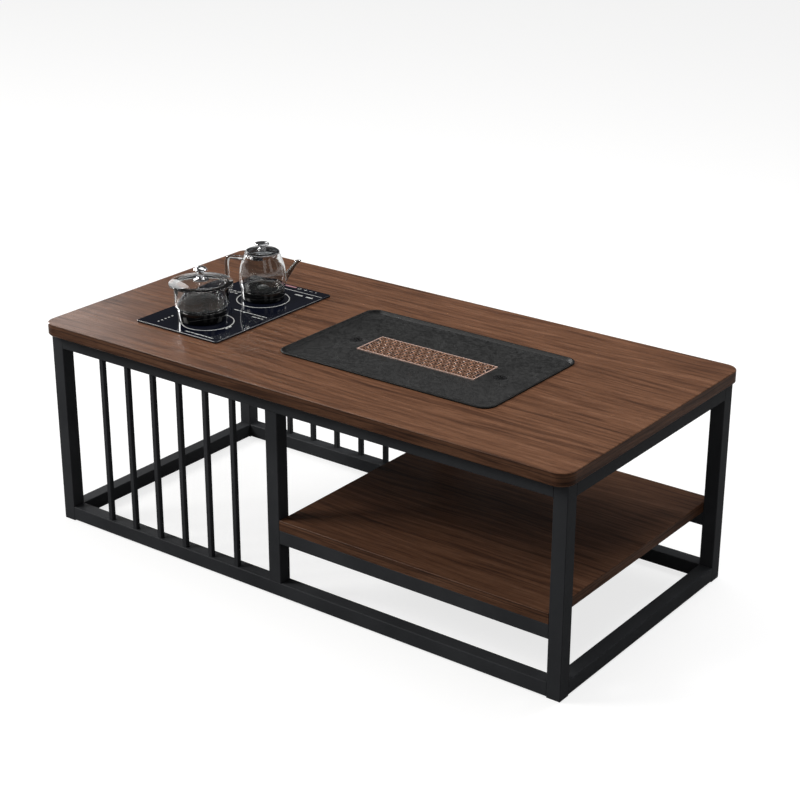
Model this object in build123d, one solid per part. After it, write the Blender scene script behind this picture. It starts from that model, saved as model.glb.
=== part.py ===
"""Gongfu tea table: a square-tube frame that carries a wooden top, a shelf and a barred bay.

A two-zone hob with its glass kettle and glass pot is let into the left of the top, and a tea tray
with a drain panel is dropped into the middle.  All sizes are in millimetres.  The origin lies on
the floor under the middle of the top, +X runs along the length, -Y is the front and +Z is up.
"""
import math
import os

from build123d import *

# ---------------------------------------------------------------------------------- wooden top
TABLE_LENGTH = 1200.0
TABLE_WIDTH = 600.0
TABLE_HEIGHT = 425.0
TOP_THICKNESS = 25.0
TOP_CORNER_RADIUS = 28.0
TOP_EDGE_CHAMFER = 1.2
TOP_UNDER_CHAMFER = 2.5

# ---------------------------------------------------------------------------------- tube frame
TUBE_SIZE = 28.0
TUBE_WALL = 1.5
TUBE_CHAMFER = 1.0
END_OVERHANG = 7.0  # the top stands out past the frame by this much at each end
SIDE_OVERHANG = 17.0  # and by this much at the front and back
BAY_WIDTH = 518.5  # clear width of the barred bay, from the left posts to the middle posts
BAR_SIZE = 10.0
BAR_CHAMFER = 0.8
BAR_COUNT = 6
BAR_PITCH = 66.5
BAR_SHIFT = 8.0  # the row of bars stands this far right of the bay's middle
BAR_FACE_SETBACK = 3.0  # from the frame's outer face to the bars' outer face

PLUG_FLANGE = 2.0
PLUG_DEPTH = 14.0
PLUG_CLEARANCE = 0.2
PLUG_FLANGE_INSET = 0.6

# ---------------------------------------------------------------------------------- shelf
SHELF_TOP_Z = 160.0
SHELF_THICKNESS = 20.0
SHELF_EDGE_CHAMFER = 0.8
SHELF_END_GAP = 0.3

# ---------------------------------------------------------------------------------- tabs
TAB_LENGTH = 30.0
TAB_REACH = 20.0
TAB_THICKNESS = 3.0
TAB_CHAMFER = 5.0
TOP_TAB_COUNT = 4
TOP_TAB_PITCH = 300.0
SHELF_TAB_COUNT = 2
SHELF_TAB_PITCH = 360.0

# ---------------------------------------------------------------------------------- hob
HOB_WIDTH = 208.0
HOB_LENGTH = 345.0
HOB_END_SETBACK = 250.0  # from the top's left end to the middle of the hob
HOB_SHIFT_Y = -16.0
HOB_CORNER_RADIUS = 5.0
HOB_GLASS = 3.6
HOB_GLASS_CHAMFER = 0.8
GASKET_THICKNESS = 0.6
GASKET_WIDTH = 5.0
GASKET_SETBACK = 2.0
HOUSING_MARGIN = 11.0  # the housing is smaller than the glass by this much all round
HOUSING_DEPTH = 62.0
HOUSING_WALL = 1.2
HOUSING_CORNER_RADIUS = 6.0
HOUSING_CLEARANCE = 3.0
VENT_LENGTH = 34.0
VENT_WIDTH = 4.0
VENT_PITCH = 9.0
VENT_COUNT = 6

CLAMP_WIDTH = 18.0
CLAMP_REACH = 15.0
CLAMP_DROP = 24.0
CLAMP_THICKNESS = 2.0
CLAMP_SPREAD = 230.0

FRONT_ZONE_X = -8.0
FRONT_ZONE_Y = -88.0
REAR_ZONE_X = 5.0
REAR_ZONE_Y = 78.0
COIL_RADIUS = 50.0
COIL_BORE = 14.0
COIL_THICKNESS = 5.0
COIL_GLASS_GAP = 0.5
CARRIER_RADIUS = 54.0
CARRIER_THICKNESS = 3.0
CARRIER_BORE = 9.0
CARRIER_LEG_SIZE = 7.0
CARRIER_LEG_CIRCLE = 44.0
CARRIER_LEG_COUNT = 3
CARRIER_LEG_START = 90.0

BOARD_WIDTH = 70.0
BOARD_LENGTH = 44.0
BOARD_THICKNESS = 1.6
BOARD_FOOT_HEIGHT = 6.0
BOARD_FOOT_SIZE = 5.0
SINK_HEIGHT = 18.0
SINK_DEPTH = 14.0
SINK_WIDTH = 40.0
SINK_FIN = 2.0
SINK_FIN_COUNT = 5

FAN_SIZE = 60.0
FAN_DEPTH = 15.0
FAN_BORE_RADIUS = 28.0
FAN_HUB_RADIUS = 11.0
FAN_BLADE_COUNT = 7
FAN_BLADE_THICKNESS = 1.4
FAN_BLADE_PITCH_ANGLE = 40.0
FAN_TIP_CLEARANCE = 1.2
FAN_PIN_RADIUS = 2.5
FAN_PIN_CLEARANCE = 0.05
FAN_SPOKE_WIDTH = 4.0
FAN_SPOKE_HEIGHT = 2.0
FAN_AXIAL_CLEARANCE = 0.3

PUMP_RADIUS = 19.0
PUMP_HEIGHT = 30.0
PUMP_NECK_RADIUS = 7.5
PUMP_NECK_HEIGHT = 8.0
NOZZLE_STEM_RADIUS = 4.5
NOZZLE_TIP_RADIUS = 4.0
NOZZLE_TIP_HEIGHT = 6.5
NOZZLE_FLANGE_RADIUS = 9.0
NOZZLE_FLANGE_HEIGHT = 1.2
NOZZLE_BORE = 2.4
NOZZLE_CLEARANCE = 0.5
INLET_RADIUS = 4.0
INLET_BORE = 2.5
INLET_LENGTH = 18.0
INLET_FLANGE_RADIUS = 8.0
INLET_FLANGE_HEIGHT = 2.5
GLAND_RADIUS = 7.0
GLAND_FLANGE_RADIUS = 9.5
GLAND_FLANGE_HEIGHT = 3.0
GLAND_BORE = 3.5
GLAND_LENGTH = 14.0
GLAND_SETBACK = 24.0  # from the housing's back wall in to the gland's axis

# ---------------------------------------------------------------------------------- kettle
LIFT_GAP = 0.3  # what stands loose keeps this much from its seat
KETTLE_TURN = 36.65  # the spout points this many degrees round from +X
KETTLE_BASE_RADIUS = 43.5
KETTLE_BASE_HEIGHT = 21.0
KETTLE_BASE_TAPER = 1.5
KETTLE_FOOT_RADIUS = 40.5
KETTLE_LOW_RADIUS = 45.5
KETTLE_LOW_Z = 4.0
KETTLE_BELLY_RADIUS = 47.5
KETTLE_BELLY_Z = 23.0
KETTLE_SHOULDER_RADIUS = 40.0
KETTLE_SHOULDER_Z = 59.0
KETTLE_NECK_RADIUS = 34.0
KETTLE_HEIGHT = 73.0  # from the glass floor's underside to the rim
KETTLE_WALL = 2.0
SPOUT_ROOT_RADIUS = 8.2
SPOUT_TIP_RADIUS = 3.9
SPOUT_WALL = 1.3
SPOUT_ROOT_REACH = 36.0  # root and tip are measured out from the kettle's axis
SPOUT_TIP_REACH = 71.5
SPOUT_ROOT_Z = 9.0  # and up from the glass floor's underside
SPOUT_TIP_Z = 57.0
SPOUT_OVERRUN = 12.0
HANDLE_RADIUS = 4.2
HANDLE_TOP_Z = 62.0
HANDLE_SHOULDER_RISE = 2.0
HANDLE_REACH = 71.0
HANDLE_KNEE_Z = 26.0
HANDLE_END_REACH = 66.0
HANDLE_END_Z = 5.0
HANDLE_BEND = 17.0
VALVE_RADIUS = 12.0
VALVE_HEIGHT = 18.0
VALVE_BORE_DEPTH = 5.0
VALVE_CLEARANCE = 0.2
VALVE_NECK_RADIUS = 4.0
VALVE_HEAD_RADIUS = 7.0
VALVE_HEAD_HEIGHT = 1.5
LID_BAND_FLANGE = 2.2
LID_BAND_OVERHANG = 0.8
LID_BAND_SKIRT = 8.0
LID_BAND_WALL = 1.2
LID_BAND_CLEARANCE = 0.5
LID_DOME_RISE = 3.0
LID_GLASS = 2.0
KETTLE_KNOB_RADIUS = 14.6
KETTLE_KNOB_CAP = 5.0
KETTLE_KNOB_DISH = 2.2
KETTLE_KNOB_HEIGHT = 12.5
KETTLE_KNOB_STEM = 5.0
KETTLE_KNOB_FOOT = 9.0
KETTLE_KNOB_FOOT_HEIGHT = 1.6
KETTLE_KNOB_FOOT_SINK = 1.0

# ---------------------------------------------------------------------------------- pot
POT_TURN = 36.65  # the line of the ears is turned this many degrees from +X
POT_BASE_RADIUS = 48.0
POT_BASE_HEIGHT = 23.0
POT_BASE_TAPER = 2.0
POT_RADIUS = 53.2
POT_HEIGHT = 48.0
POT_WALL = 2.2
POT_FOOT_ROUND = 9.0
EAR_REACH = 62.0
EAR_WIDTH = 15.0
EAR_THICKNESS = 4.5
EAR_CORNER = 6.0
EAR_DROP = 3.0  # from the pot's rim down to the ears
POT_LID_RADIUS = 62.5
POT_LID_RISE = 5.5
POT_LID_RIM_HEIGHT = 2.4
POT_LID_RING = 4.0
POT_LID_RING_WALL = 2.2
POT_LID_CLEARANCE = 0.8
POT_KNOB_RADIUS = 13.8
POT_KNOB_CAP = 9.0
POT_KNOB_UNDERCUT = 2.0
POT_KNOB_HEIGHT = 26.0
POT_KNOB_STEM = 6.0
POT_KNOB_FOOT = 16.0
POT_KNOB_FOOT_HEIGHT = 2.0
POT_KNOB_FOOT_SINK = 1.0

# ---------------------------------------------------------------------------------- tea tray
TRAY_LENGTH = 480.0
TRAY_WIDTH = 300.0
HOB_TRAY_GAP = 115.0
TRAY_SHIFT_Y = -3.0
TRAY_CORNER_RADIUS = 26.0
TRAY_LIP_HEIGHT = 3.3
TRAY_LIP_CHAMFER = 1.0
TRAY_LIP_WIDTH = 4.0
TRAY_DEPTH = 6.0
TRAY_WALL_SLOPE = 4.0  # how far the basin's wall leans in from lip to floor
TRAY_FLOOR = 4.0
TRAY_BEARING = 4.5
CUTOUT_CLEARANCE = 0.6
GRILLE_LENGTH = 266.0
GRILLE_WIDTH = 80.0
GRILLE_THICKNESS = 3.0
GRILLE_PROUD = 0.9
GRILLE_CLEARANCE = 0.3
GRILLE_LEDGE = 4.0
GRILLE_BORDER = 2.0
GRILLE_BORDER_PROUD = 0.3
GRILLE_HOLE_SIZE = 4.4
GRILLE_HOLE_TURN = 45.0
GRILLE_HOLE_PITCH_X = 16.2
GRILLE_HOLE_PITCH_Y = 16.0
GRILLE_HOLE_ROWS = 5
GRILLE_HOLE_COLUMNS = 16
STRAINER_RADIUS = 12.0
STRAINER_THICKNESS = 1.8
STRAINER_SPREAD = 328.0
STRAINER_DRAIN_RADIUS = 8.0
STRAINER_SLOT_WIDTH = 2.0
STRAINER_SLOT_INNER = 2.5
STRAINER_SLOT_OUTER = 7.0
STRAINER_SLOT_COUNT = 6
PAN_WIDTH = 80.0
PAN_END_MARGIN = 16.0
PAN_DEPTH = 16.0
PAN_WALL = 2.5
PAN_CORNER_RADIUS = 8.0
SPIGOT_SHIFT_X = -150.0
SPIGOT_RADIUS = 8.0
SPIGOT_BORE = 6.0
SPIGOT_TAIL_RADIUS = 7.5
SPIGOT_TAIL_LENGTH = 26.0
SPIGOT_FLANGE_RADIUS = 13.0
SPIGOT_FLANGE_HEIGHT = 2.0
SPIGOT_CLEARANCE = 0.2
NUT_RADIUS = 13.0
NUT_HEIGHT = 6.0
NUT_SIDES = 6

# ---------------------------------------------------------------------------------- worked out
FRAME_BOTTOM_Z = PLUG_FLANGE
FRAME_TOP_Z = TABLE_HEIGHT - TOP_THICKNESS
FRAME_LEFT_X = -TABLE_LENGTH / 2 + END_OVERHANG
FRAME_RIGHT_X = TABLE_LENGTH / 2 - END_OVERHANG
FRAME_HALF_WIDTH = TABLE_WIDTH / 2 - SIDE_OVERHANG
LEFT_POST_X = FRAME_LEFT_X + TUBE_SIZE / 2
RIGHT_POST_X = FRAME_RIGHT_X - TUBE_SIZE / 2
MIDDLE_POST_X = FRAME_LEFT_X + TUBE_SIZE + BAY_WIDTH + TUBE_SIZE / 2
SIDE_Y = FRAME_HALF_WIDTH - TUBE_SIZE / 2
INNER_SIDE_Y = FRAME_HALF_WIDTH - TUBE_SIZE
TOP_RAIL_Z = FRAME_TOP_Z - TUBE_SIZE / 2
BOTTOM_RAIL_Z = FRAME_BOTTOM_Z + TUBE_SIZE / 2
SHELF_UNDER_Z = SHELF_TOP_Z - SHELF_THICKNESS
SHELF_RAIL_Z = SHELF_UNDER_Z - TUBE_SIZE / 2
SHELF_LEFT_X = MIDDLE_POST_X + TUBE_SIZE / 2
SHELF_RIGHT_X = RIGHT_POST_X - TUBE_SIZE / 2

HOB_X = -TABLE_LENGTH / 2 + HOB_END_SETBACK
HOB_Y = HOB_SHIFT_Y
HOB_GLASS_Z = TABLE_HEIGHT + GASKET_THICKNESS
HOB_TOP_Z = HOB_GLASS_Z + HOB_GLASS
HOUSING_WIDTH = HOB_WIDTH - 2 * HOUSING_MARGIN
HOUSING_LENGTH = HOB_LENGTH - 2 * HOUSING_MARGIN
HOUSING_BOTTOM_Z = HOB_GLASS_Z - HOUSING_DEPTH
HOUSING_FLOOR_Z = HOUSING_BOTTOM_Z + HOUSING_WALL
GLAND_Y = HOB_Y + HOUSING_LENGTH / 2 - GLAND_SETBACK
COIL_TOP_Z = HOB_GLASS_Z - COIL_GLASS_GAP
CARRIER_Z = COIL_TOP_Z - COIL_THICKNESS - CARRIER_THICKNESS
FRONT_ZONE = (HOB_X + FRONT_ZONE_X, HOB_Y + FRONT_ZONE_Y)
REAR_ZONE = (HOB_X + REAR_ZONE_X, HOB_Y + REAR_ZONE_Y)

VESSEL_Z = HOB_TOP_Z + LIFT_GAP
KETTLE_GLASS_Z = VESSEL_Z + KETTLE_BASE_HEIGHT
KETTLE_RIM_Z = KETTLE_GLASS_Z + KETTLE_HEIGHT
POT_GLASS_Z = VESSEL_Z + POT_BASE_HEIGHT
POT_RIM_Z = POT_GLASS_Z + POT_HEIGHT

TRAY_X = HOB_X + HOB_WIDTH / 2 + HOB_TRAY_GAP + TRAY_LENGTH / 2
TRAY_Y = TRAY_SHIFT_Y
TRAY_LIP_Z = TABLE_HEIGHT + LIFT_GAP
TRAY_TOP_Z = TRAY_LIP_Z + TRAY_LIP_HEIGHT
TRAY_FLOOR_Z = TRAY_TOP_Z - TRAY_DEPTH
TRAY_UNDER_Z = TRAY_FLOOR_Z - TRAY_FLOOR
GRILLE_TOP_Z = TRAY_FLOOR_Z + GRILLE_PROUD
LEDGE_Z = GRILLE_TOP_Z - GRILLE_THICKNESS - LIFT_GAP
STRAINER_SEAT_Z = TRAY_FLOOR_Z - STRAINER_THICKNESS - LIFT_GAP
PAN_BOTTOM_Z = TRAY_UNDER_Z - PAN_DEPTH
SPIGOT_X = TRAY_X + SPIGOT_SHIFT_X

STANDING = (Align.CENTER, Align.CENTER, Align.MIN)
FULL_TURN = 360.0


# ---------------------------------------------------------------------------------- helpers
def save(name, *solids):
    """Write one node, made of one or more separate solids, to its STEP file."""
    shape = solids[0] if len(solids) == 1 else Compound(children=list(solids))
    export_step(shape, f"parts/{name}.step")


def block(low, high):
    """Box between two corners."""
    size = [b - a for a, b in zip(low, high)]
    return Pos(*low) * Box(*size, align=(Align.MIN, Align.MIN, Align.MIN))


def plate(length, width, radius, bottom_z, height, x=0.0, y=0.0):
    """Flat plate with rounded corners, centred on (x, y), standing on bottom_z."""
    return Pos(x, y, bottom_z) * extrude(RectangleRounded(length, width, radius), height)


def drum(radius, bottom_z, height, x=0.0, y=0.0):
    """Upright cylinder on bottom_z."""
    return Pos(x, y, bottom_z) * Cylinder(radius, height, align=STANDING)


def turned(outline):
    """Solid of revolution about the Z axis from a closed outline of (radius, height)."""
    return revolve(make_face(Plane.XZ * outline), Axis.Z)


def turned_points(points):
    """Solid of revolution about the Z axis from straight runs between (radius, height) points."""
    return turned(Polyline(*points, close=True))


def dome_arc(rim_radius, rim_z, rise):
    """Arc from a dome's rim to its crown, or to the floor of a dish where the rise is negative."""
    sphere = (rim_radius**2 + rise**2) / (2 * rise)
    half_drop = sphere - math.copysign(math.sqrt(sphere**2 - (rim_radius / 2) ** 2), rise)
    crown_z = rim_z + rise
    return ThreePointArc((rim_radius, rim_z), (rim_radius / 2, crown_z - half_drop), (0, crown_z))


def around(count, radius, start_angle=0.0):
    """Points spaced evenly round a circle."""
    angles = [math.radians(start_angle + FULL_TURN * i / count) for i in range(count)]
    return [(radius * math.cos(a), radius * math.sin(a)) for a in angles]


def in_row(count, pitch):
    """Places spaced evenly in a row about zero."""
    return [(i - (count - 1) / 2) * pitch for i in range(count)]


# ---------------------------------------------------------------------------------- frame
def square_tube(length):
    """Hollow square tube along +Z from the origin."""
    square = Rectangle(TUBE_SIZE, TUBE_SIZE)
    outside = chamfer(square.vertices(), TUBE_CHAMFER)
    inside = Rectangle(TUBE_SIZE - 2 * TUBE_WALL, TUBE_SIZE - 2 * TUBE_WALL)
    return extrude(outside - inside, length)


def upright(x, y, low_z, high_z):
    """Tube that stands between two heights."""
    return Pos(x, y, low_z) * square_tube(high_z - low_z)


def rail_along_x(y, z, low_x, high_x):
    """Tube that lies along X."""
    return Pos(low_x, y, z) * Rot(0, 90, 0) * square_tube(high_x - low_x)


def rail_along_y(x, z, low_y, high_y):
    """Tube that lies along Y."""
    return Pos(x, low_y, z) * Rot(-90, 0, 0) * square_tube(high_y - low_y)


def bar_row(side):
    """Thin upright bars of the bay on one side; side is -1 at the front and 1 at the back."""
    low_z = FRAME_BOTTOM_Z + TUBE_SIZE
    bar = chamfer(
        Box(BAR_SIZE, BAR_SIZE, FRAME_TOP_Z - TUBE_SIZE - low_z, align=STANDING).edges() | Axis.Z,
        BAR_CHAMFER,
    )
    middle_x = FRAME_LEFT_X + TUBE_SIZE + BAY_WIDTH / 2 + BAR_SHIFT
    y = side * (FRAME_HALF_WIDTH - BAR_FACE_SETBACK - BAR_SIZE / 2)
    return [Pos(middle_x + x, y, low_z) * bar for x in in_row(BAR_COUNT, BAR_PITCH)]


def foot_plug(x, y):
    """Plastic plug pushed into the open foot of a corner post."""
    hollow = TUBE_SIZE - 2 * TUBE_WALL - 2 * PLUG_CLEARANCE
    flange_size = TUBE_SIZE - 2 * PLUG_FLANGE_INSET
    flange = Box(flange_size, flange_size, PLUG_FLANGE, align=STANDING)
    stub = Pos(0, 0, PLUG_FLANGE) * Box(hollow, hollow, PLUG_DEPTH, align=STANDING)
    pocket_size = hollow - 2 * PLUG_FLANGE
    pocket = Pos(0, 0, PLUG_FLANGE) * Box(pocket_size, pocket_size, PLUG_DEPTH, align=STANDING)
    return Pos(x, y, 0) * (flange + stub - pocket)


def build_frame():
    """Posts, rails, bars and foot plugs."""
    corner_posts = {
        "front_left_post": (LEFT_POST_X, -SIDE_Y),
        "front_right_post": (RIGHT_POST_X, -SIDE_Y),
        "back_left_post": (LEFT_POST_X, SIDE_Y),
        "back_right_post": (RIGHT_POST_X, SIDE_Y),
    }
    for name, (x, y) in corner_posts.items():
        save(name, upright(x, y, FRAME_BOTTOM_Z, FRAME_TOP_Z))
    save("foot_plugs", *[foot_plug(x, y) for x, y in corner_posts.values()])
    inner_left = LEFT_POST_X + TUBE_SIZE / 2
    inner_right = RIGHT_POST_X - TUBE_SIZE / 2
    for side_name, side in (("front", -1), ("back", 1)):
        y = side * SIDE_Y
        save(f"{side_name}_top_rail", rail_along_x(y, TOP_RAIL_Z, inner_left, inner_right))
        save(f"{side_name}_bottom_rail", rail_along_x(y, BOTTOM_RAIL_Z, inner_left, inner_right))
        low_z = BOTTOM_RAIL_Z + TUBE_SIZE / 2
        high_z = TOP_RAIL_Z - TUBE_SIZE / 2
        save(f"{side_name}_middle_post", upright(MIDDLE_POST_X, y, low_z, high_z))
        save(f"{side_name}_shelf_rail", rail_along_x(y, SHELF_RAIL_Z, SHELF_LEFT_X, SHELF_RIGHT_X))
        save(f"{side_name}_bars", *bar_row(side))
    for end_name, x in (("left", LEFT_POST_X), ("right", RIGHT_POST_X)):
        save(f"{end_name}_top_rail", rail_along_y(x, TOP_RAIL_Z, -INNER_SIDE_Y, INNER_SIDE_Y))
        save(f"{end_name}_bottom_rail", rail_along_y(x, BOTTOM_RAIL_Z, -INNER_SIDE_Y, INNER_SIDE_Y))


# ---------------------------------------------------------------------------------- wood, tabs
def top_tab_places():
    """(x, y, turn) of each tab under the top; turn points the tab's free end inwards."""
    long_sides = [(x, -INNER_SIDE_Y, 90.0) for x in in_row(TOP_TAB_COUNT, TOP_TAB_PITCH)]
    long_sides += [(x, INNER_SIDE_Y, -90.0) for x in in_row(TOP_TAB_COUNT, TOP_TAB_PITCH)]
    left_end = (LEFT_POST_X + TUBE_SIZE / 2, 0.0, 0.0)
    right_end = (RIGHT_POST_X - TUBE_SIZE / 2, 0.0, FULL_TURN / 2)
    return long_sides + [left_end, right_end]


def shelf_tab_places():
    """(x, y, turn) of each tab under the shelf."""
    middle = (SHELF_LEFT_X + SHELF_RIGHT_X) / 2
    places = []
    for x in in_row(SHELF_TAB_COUNT, SHELF_TAB_PITCH):
        places += [(middle + x, -INNER_SIDE_Y, 90.0), (middle + x, INNER_SIDE_Y, -90.0)]
    return places


def tab(x, y, turn, wood_z):
    """Steel tab welded to a rail; its top meets the wood that it holds."""
    outline = Pos(TAB_REACH / 2, 0) * Rectangle(TAB_REACH, TAB_LENGTH)
    free_corners = outline.vertices().sort_by(Axis.X)[-2:]
    body = extrude(chamfer(free_corners, TAB_CHAMFER), TAB_THICKNESS)
    return Pos(x, y, wood_z - TAB_THICKNESS) * Rot(0, 0, turn) * body


def tabletop():
    """Wooden top with rounded corners, a cut-out for the hob and one for the tray."""
    board = plate(TABLE_LENGTH, TABLE_WIDTH, TOP_CORNER_RADIUS, FRAME_TOP_Z, TOP_THICKNESS)
    board = chamfer(board.faces().sort_by(Axis.Z)[-1].edges(), TOP_EDGE_CHAMFER)
    board = chamfer(board.faces().sort_by(Axis.Z)[0].edges(), TOP_UNDER_CHAMFER)
    board -= plate(
        HOUSING_WIDTH + 2 * HOUSING_CLEARANCE,
        HOUSING_LENGTH + 2 * HOUSING_CLEARANCE,
        HOUSING_CORNER_RADIUS + HOUSING_CLEARANCE,
        FRAME_TOP_Z,
        TOP_THICKNESS,
        HOB_X,
        HOB_Y,
    )
    smaller = 2 * TRAY_BEARING - 2 * CUTOUT_CLEARANCE
    return board - plate(
        TRAY_LENGTH - smaller,
        TRAY_WIDTH - smaller,
        TRAY_CORNER_RADIUS - TRAY_BEARING + CUTOUT_CLEARANCE,
        FRAME_TOP_Z,
        TOP_THICKNESS,
        TRAY_X,
        TRAY_Y,
    )


def shelf_board():
    """Wooden shelf, flush with the frame's front and back, between the posts."""
    length = SHELF_RIGHT_X - SHELF_LEFT_X - 2 * SHELF_END_GAP
    middle = (SHELF_LEFT_X + SHELF_RIGHT_X) / 2
    board = Box(length, 2 * FRAME_HALF_WIDTH, SHELF_THICKNESS, align=STANDING)
    board = chamfer(board.faces().sort_by(Axis.Z)[-1].edges(), SHELF_EDGE_CHAMFER)
    return Pos(middle, 0, SHELF_UNDER_Z) * board


def build_wood():
    """Top, shelf and what fastens them."""
    save("tabletop", tabletop())
    save("shelf_board", shelf_board())
    save("top_tabs", *[tab(*place, FRAME_TOP_Z) for place in top_tab_places()])
    save("shelf_tabs", *[tab(*place, SHELF_UNDER_Z) for place in shelf_tab_places()])


# ---------------------------------------------------------------------------------- hob
def hob_glass():
    """Black glass panel with a hole for the filling nozzle."""
    panel = plate(HOB_WIDTH, HOB_LENGTH, HOB_CORNER_RADIUS, HOB_GLASS_Z, HOB_GLASS, HOB_X, HOB_Y)
    panel = chamfer(panel.faces().sort_by(Axis.Z)[-1].edges(), HOB_GLASS_CHAMFER)
    hole_radius = NOZZLE_STEM_RADIUS + NOZZLE_CLEARANCE
    return panel - drum(hole_radius, HOB_GLASS_Z, HOB_GLASS, *REAR_ZONE)


def hob_gasket():
    """Soft strip between the glass and the wood."""
    length = HOB_LENGTH - 2 * GASKET_SETBACK
    width = HOB_WIDTH - 2 * GASKET_SETBACK
    strip = Box(width, length, GASKET_THICKNESS, align=STANDING)
    strip -= Box(width - 2 * GASKET_WIDTH, length - 2 * GASKET_WIDTH, GASKET_THICKNESS, align=STANDING)
    return Pos(HOB_X, HOB_Y, TABLE_HEIGHT) * strip


def hob_housing():
    """Sheet-metal pan under the glass, with vents under the fan and a foot for each board corner."""
    shell = plate(
        HOUSING_WIDTH,
        HOUSING_LENGTH,
        HOUSING_CORNER_RADIUS,
        HOUSING_BOTTOM_Z,
        HOUSING_DEPTH,
        HOB_X,
        HOB_Y,
    )
    shell -= plate(
        HOUSING_WIDTH - 2 * HOUSING_WALL,
        HOUSING_LENGTH - 2 * HOUSING_WALL,
        HOUSING_CORNER_RADIUS - HOUSING_WALL,
        HOUSING_FLOOR_Z,
        HOUSING_DEPTH,
        HOB_X,
        HOB_Y,
    )
    slot = Box(VENT_WIDTH, VENT_LENGTH, 3 * HOUSING_WALL)
    for x in in_row(VENT_COUNT, VENT_PITCH):
        shell -= Pos(FRONT_ZONE[0] + x, FRONT_ZONE[1], HOUSING_BOTTOM_Z) * slot
    inlet_hole = INLET_RADIUS + SPIGOT_CLEARANCE
    shell -= drum(inlet_hole, HOUSING_BOTTOM_Z, HOUSING_WALL, *REAR_ZONE)
    shell -= drum(GLAND_RADIUS + SPIGOT_CLEARANCE, HOUSING_BOTTOM_Z, HOUSING_WALL, HOB_X, GLAND_Y)
    foot = Box(BOARD_FOOT_SIZE, BOARD_FOOT_SIZE, BOARD_FOOT_HEIGHT, align=STANDING)
    for x, y in board_feet():
        shell += Pos(x, y, HOUSING_FLOOR_Z) * foot
    return shell


def board_middle():
    """Middle of the control board, between the two zones."""
    return HOB_X, (FRONT_ZONE[1] + REAR_ZONE[1]) / 2


def board_feet():
    """Places of the feet that carry the control board."""
    x, y = board_middle()
    reach_x = BOARD_WIDTH / 2 - BOARD_FOOT_SIZE
    reach_y = BOARD_LENGTH / 2 - BOARD_FOOT_SIZE
    return [(x + i * reach_x, y + j * reach_y) for i in (-1, 1) for j in (-1, 1)]


def control_board():
    """Circuit board with its finned heat sink."""
    x, y = board_middle()
    z = HOUSING_FLOOR_Z + BOARD_FOOT_HEIGHT
    board = Pos(x, y, z) * Box(BOARD_WIDTH, BOARD_LENGTH, BOARD_THICKNESS, align=STANDING)
    sink_z = z + BOARD_THICKNESS
    sink = Box(SINK_WIDTH, SINK_DEPTH, SINK_FIN, align=STANDING)
    fin = Box(SINK_FIN, SINK_DEPTH, SINK_HEIGHT, align=STANDING)
    pitch = (SINK_WIDTH - SINK_FIN) / (SINK_FIN_COUNT - 1)
    for fin_x in in_row(SINK_FIN_COUNT, pitch):
        sink += Pos(fin_x, 0, 0) * fin
    return board + Pos(x, y, sink_z) * sink


def coil(zone):
    """Flat heating coil under one zone."""
    bottom_z = COIL_TOP_Z - COIL_THICKNESS
    ring = drum(COIL_RADIUS, bottom_z, COIL_THICKNESS, *zone)
    return ring - drum(COIL_BORE, bottom_z, COIL_THICKNESS, *zone)


def coil_carrier(zone):
    """Disc on three legs that carries a coil."""
    disc = drum(CARRIER_RADIUS, CARRIER_Z, CARRIER_THICKNESS, *zone)
    leg = Box(CARRIER_LEG_SIZE, CARRIER_LEG_SIZE, CARRIER_Z - HOUSING_FLOOR_Z, align=STANDING)
    for x, y in around(CARRIER_LEG_COUNT, CARRIER_LEG_CIRCLE, CARRIER_LEG_START):
        disc += Pos(zone[0] + x, zone[1] + y, HOUSING_FLOOR_Z) * leg
    return disc - drum(CARRIER_BORE, CARRIER_Z, CARRIER_THICKNESS, *zone)


def fan_frame():
    """Square fan frame with a spoked floor and a pin for the rotor."""
    frame = Box(FAN_SIZE, FAN_SIZE, FAN_DEPTH, align=STANDING)
    frame -= drum(FAN_BORE_RADIUS, 0, FAN_DEPTH)
    spoke = Box(FAN_SIZE, FAN_SPOKE_WIDTH, FAN_SPOKE_HEIGHT, align=STANDING)
    frame += spoke + Rot(0, 0, 90) * spoke
    frame += drum(FAN_PIN_RADIUS, 0, FAN_DEPTH - FAN_SPOKE_HEIGHT)
    return Pos(*FRONT_ZONE, HOUSING_FLOOR_Z) * frame


def fan_rotor():
    """Hub with pitched blades, bored to run on the frame's pin."""
    bottom_z = FAN_SPOKE_HEIGHT + FAN_AXIAL_CLEARANCE
    height = FAN_DEPTH - bottom_z - FAN_AXIAL_CLEARANCE
    hub = drum(FAN_HUB_RADIUS, bottom_z, height)
    tip = FAN_BORE_RADIUS - FAN_TIP_CLEARANCE
    blade_height = height / math.cos(math.radians(FAN_BLADE_PITCH_ANGLE)) * 2
    blade = Box(tip, FAN_BLADE_THICKNESS, blade_height, align=(Align.MIN, Align.CENTER, Align.CENTER))
    blade = Pos(0, 0, bottom_z + height / 2) * Rot(FAN_BLADE_PITCH_ANGLE, 0, 0) * blade
    blade &= drum(tip, bottom_z, height)
    rotor = hub
    for i in range(FAN_BLADE_COUNT):
        rotor += Rot(0, 0, FULL_TURN * i / FAN_BLADE_COUNT) * blade
    rotor -= drum(FAN_PIN_RADIUS + FAN_PIN_CLEARANCE, 0, FAN_DEPTH)
    return Pos(*FRONT_ZONE, HOUSING_FLOOR_Z) * rotor


def water_pump():
    """Upright pump with a socket for the nozzle's stem on top."""
    body = drum(PUMP_RADIUS, HOUSING_FLOOR_Z, PUMP_HEIGHT, *REAR_ZONE)
    neck_z = HOUSING_FLOOR_Z + PUMP_HEIGHT
    body += drum(PUMP_NECK_RADIUS, neck_z, PUMP_NECK_HEIGHT, *REAR_ZONE)
    socket = drum(NOZZLE_STEM_RADIUS + NOZZLE_CLEARANCE / 2, neck_z, PUMP_NECK_HEIGHT, *REAR_ZONE)
    return body - socket


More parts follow.
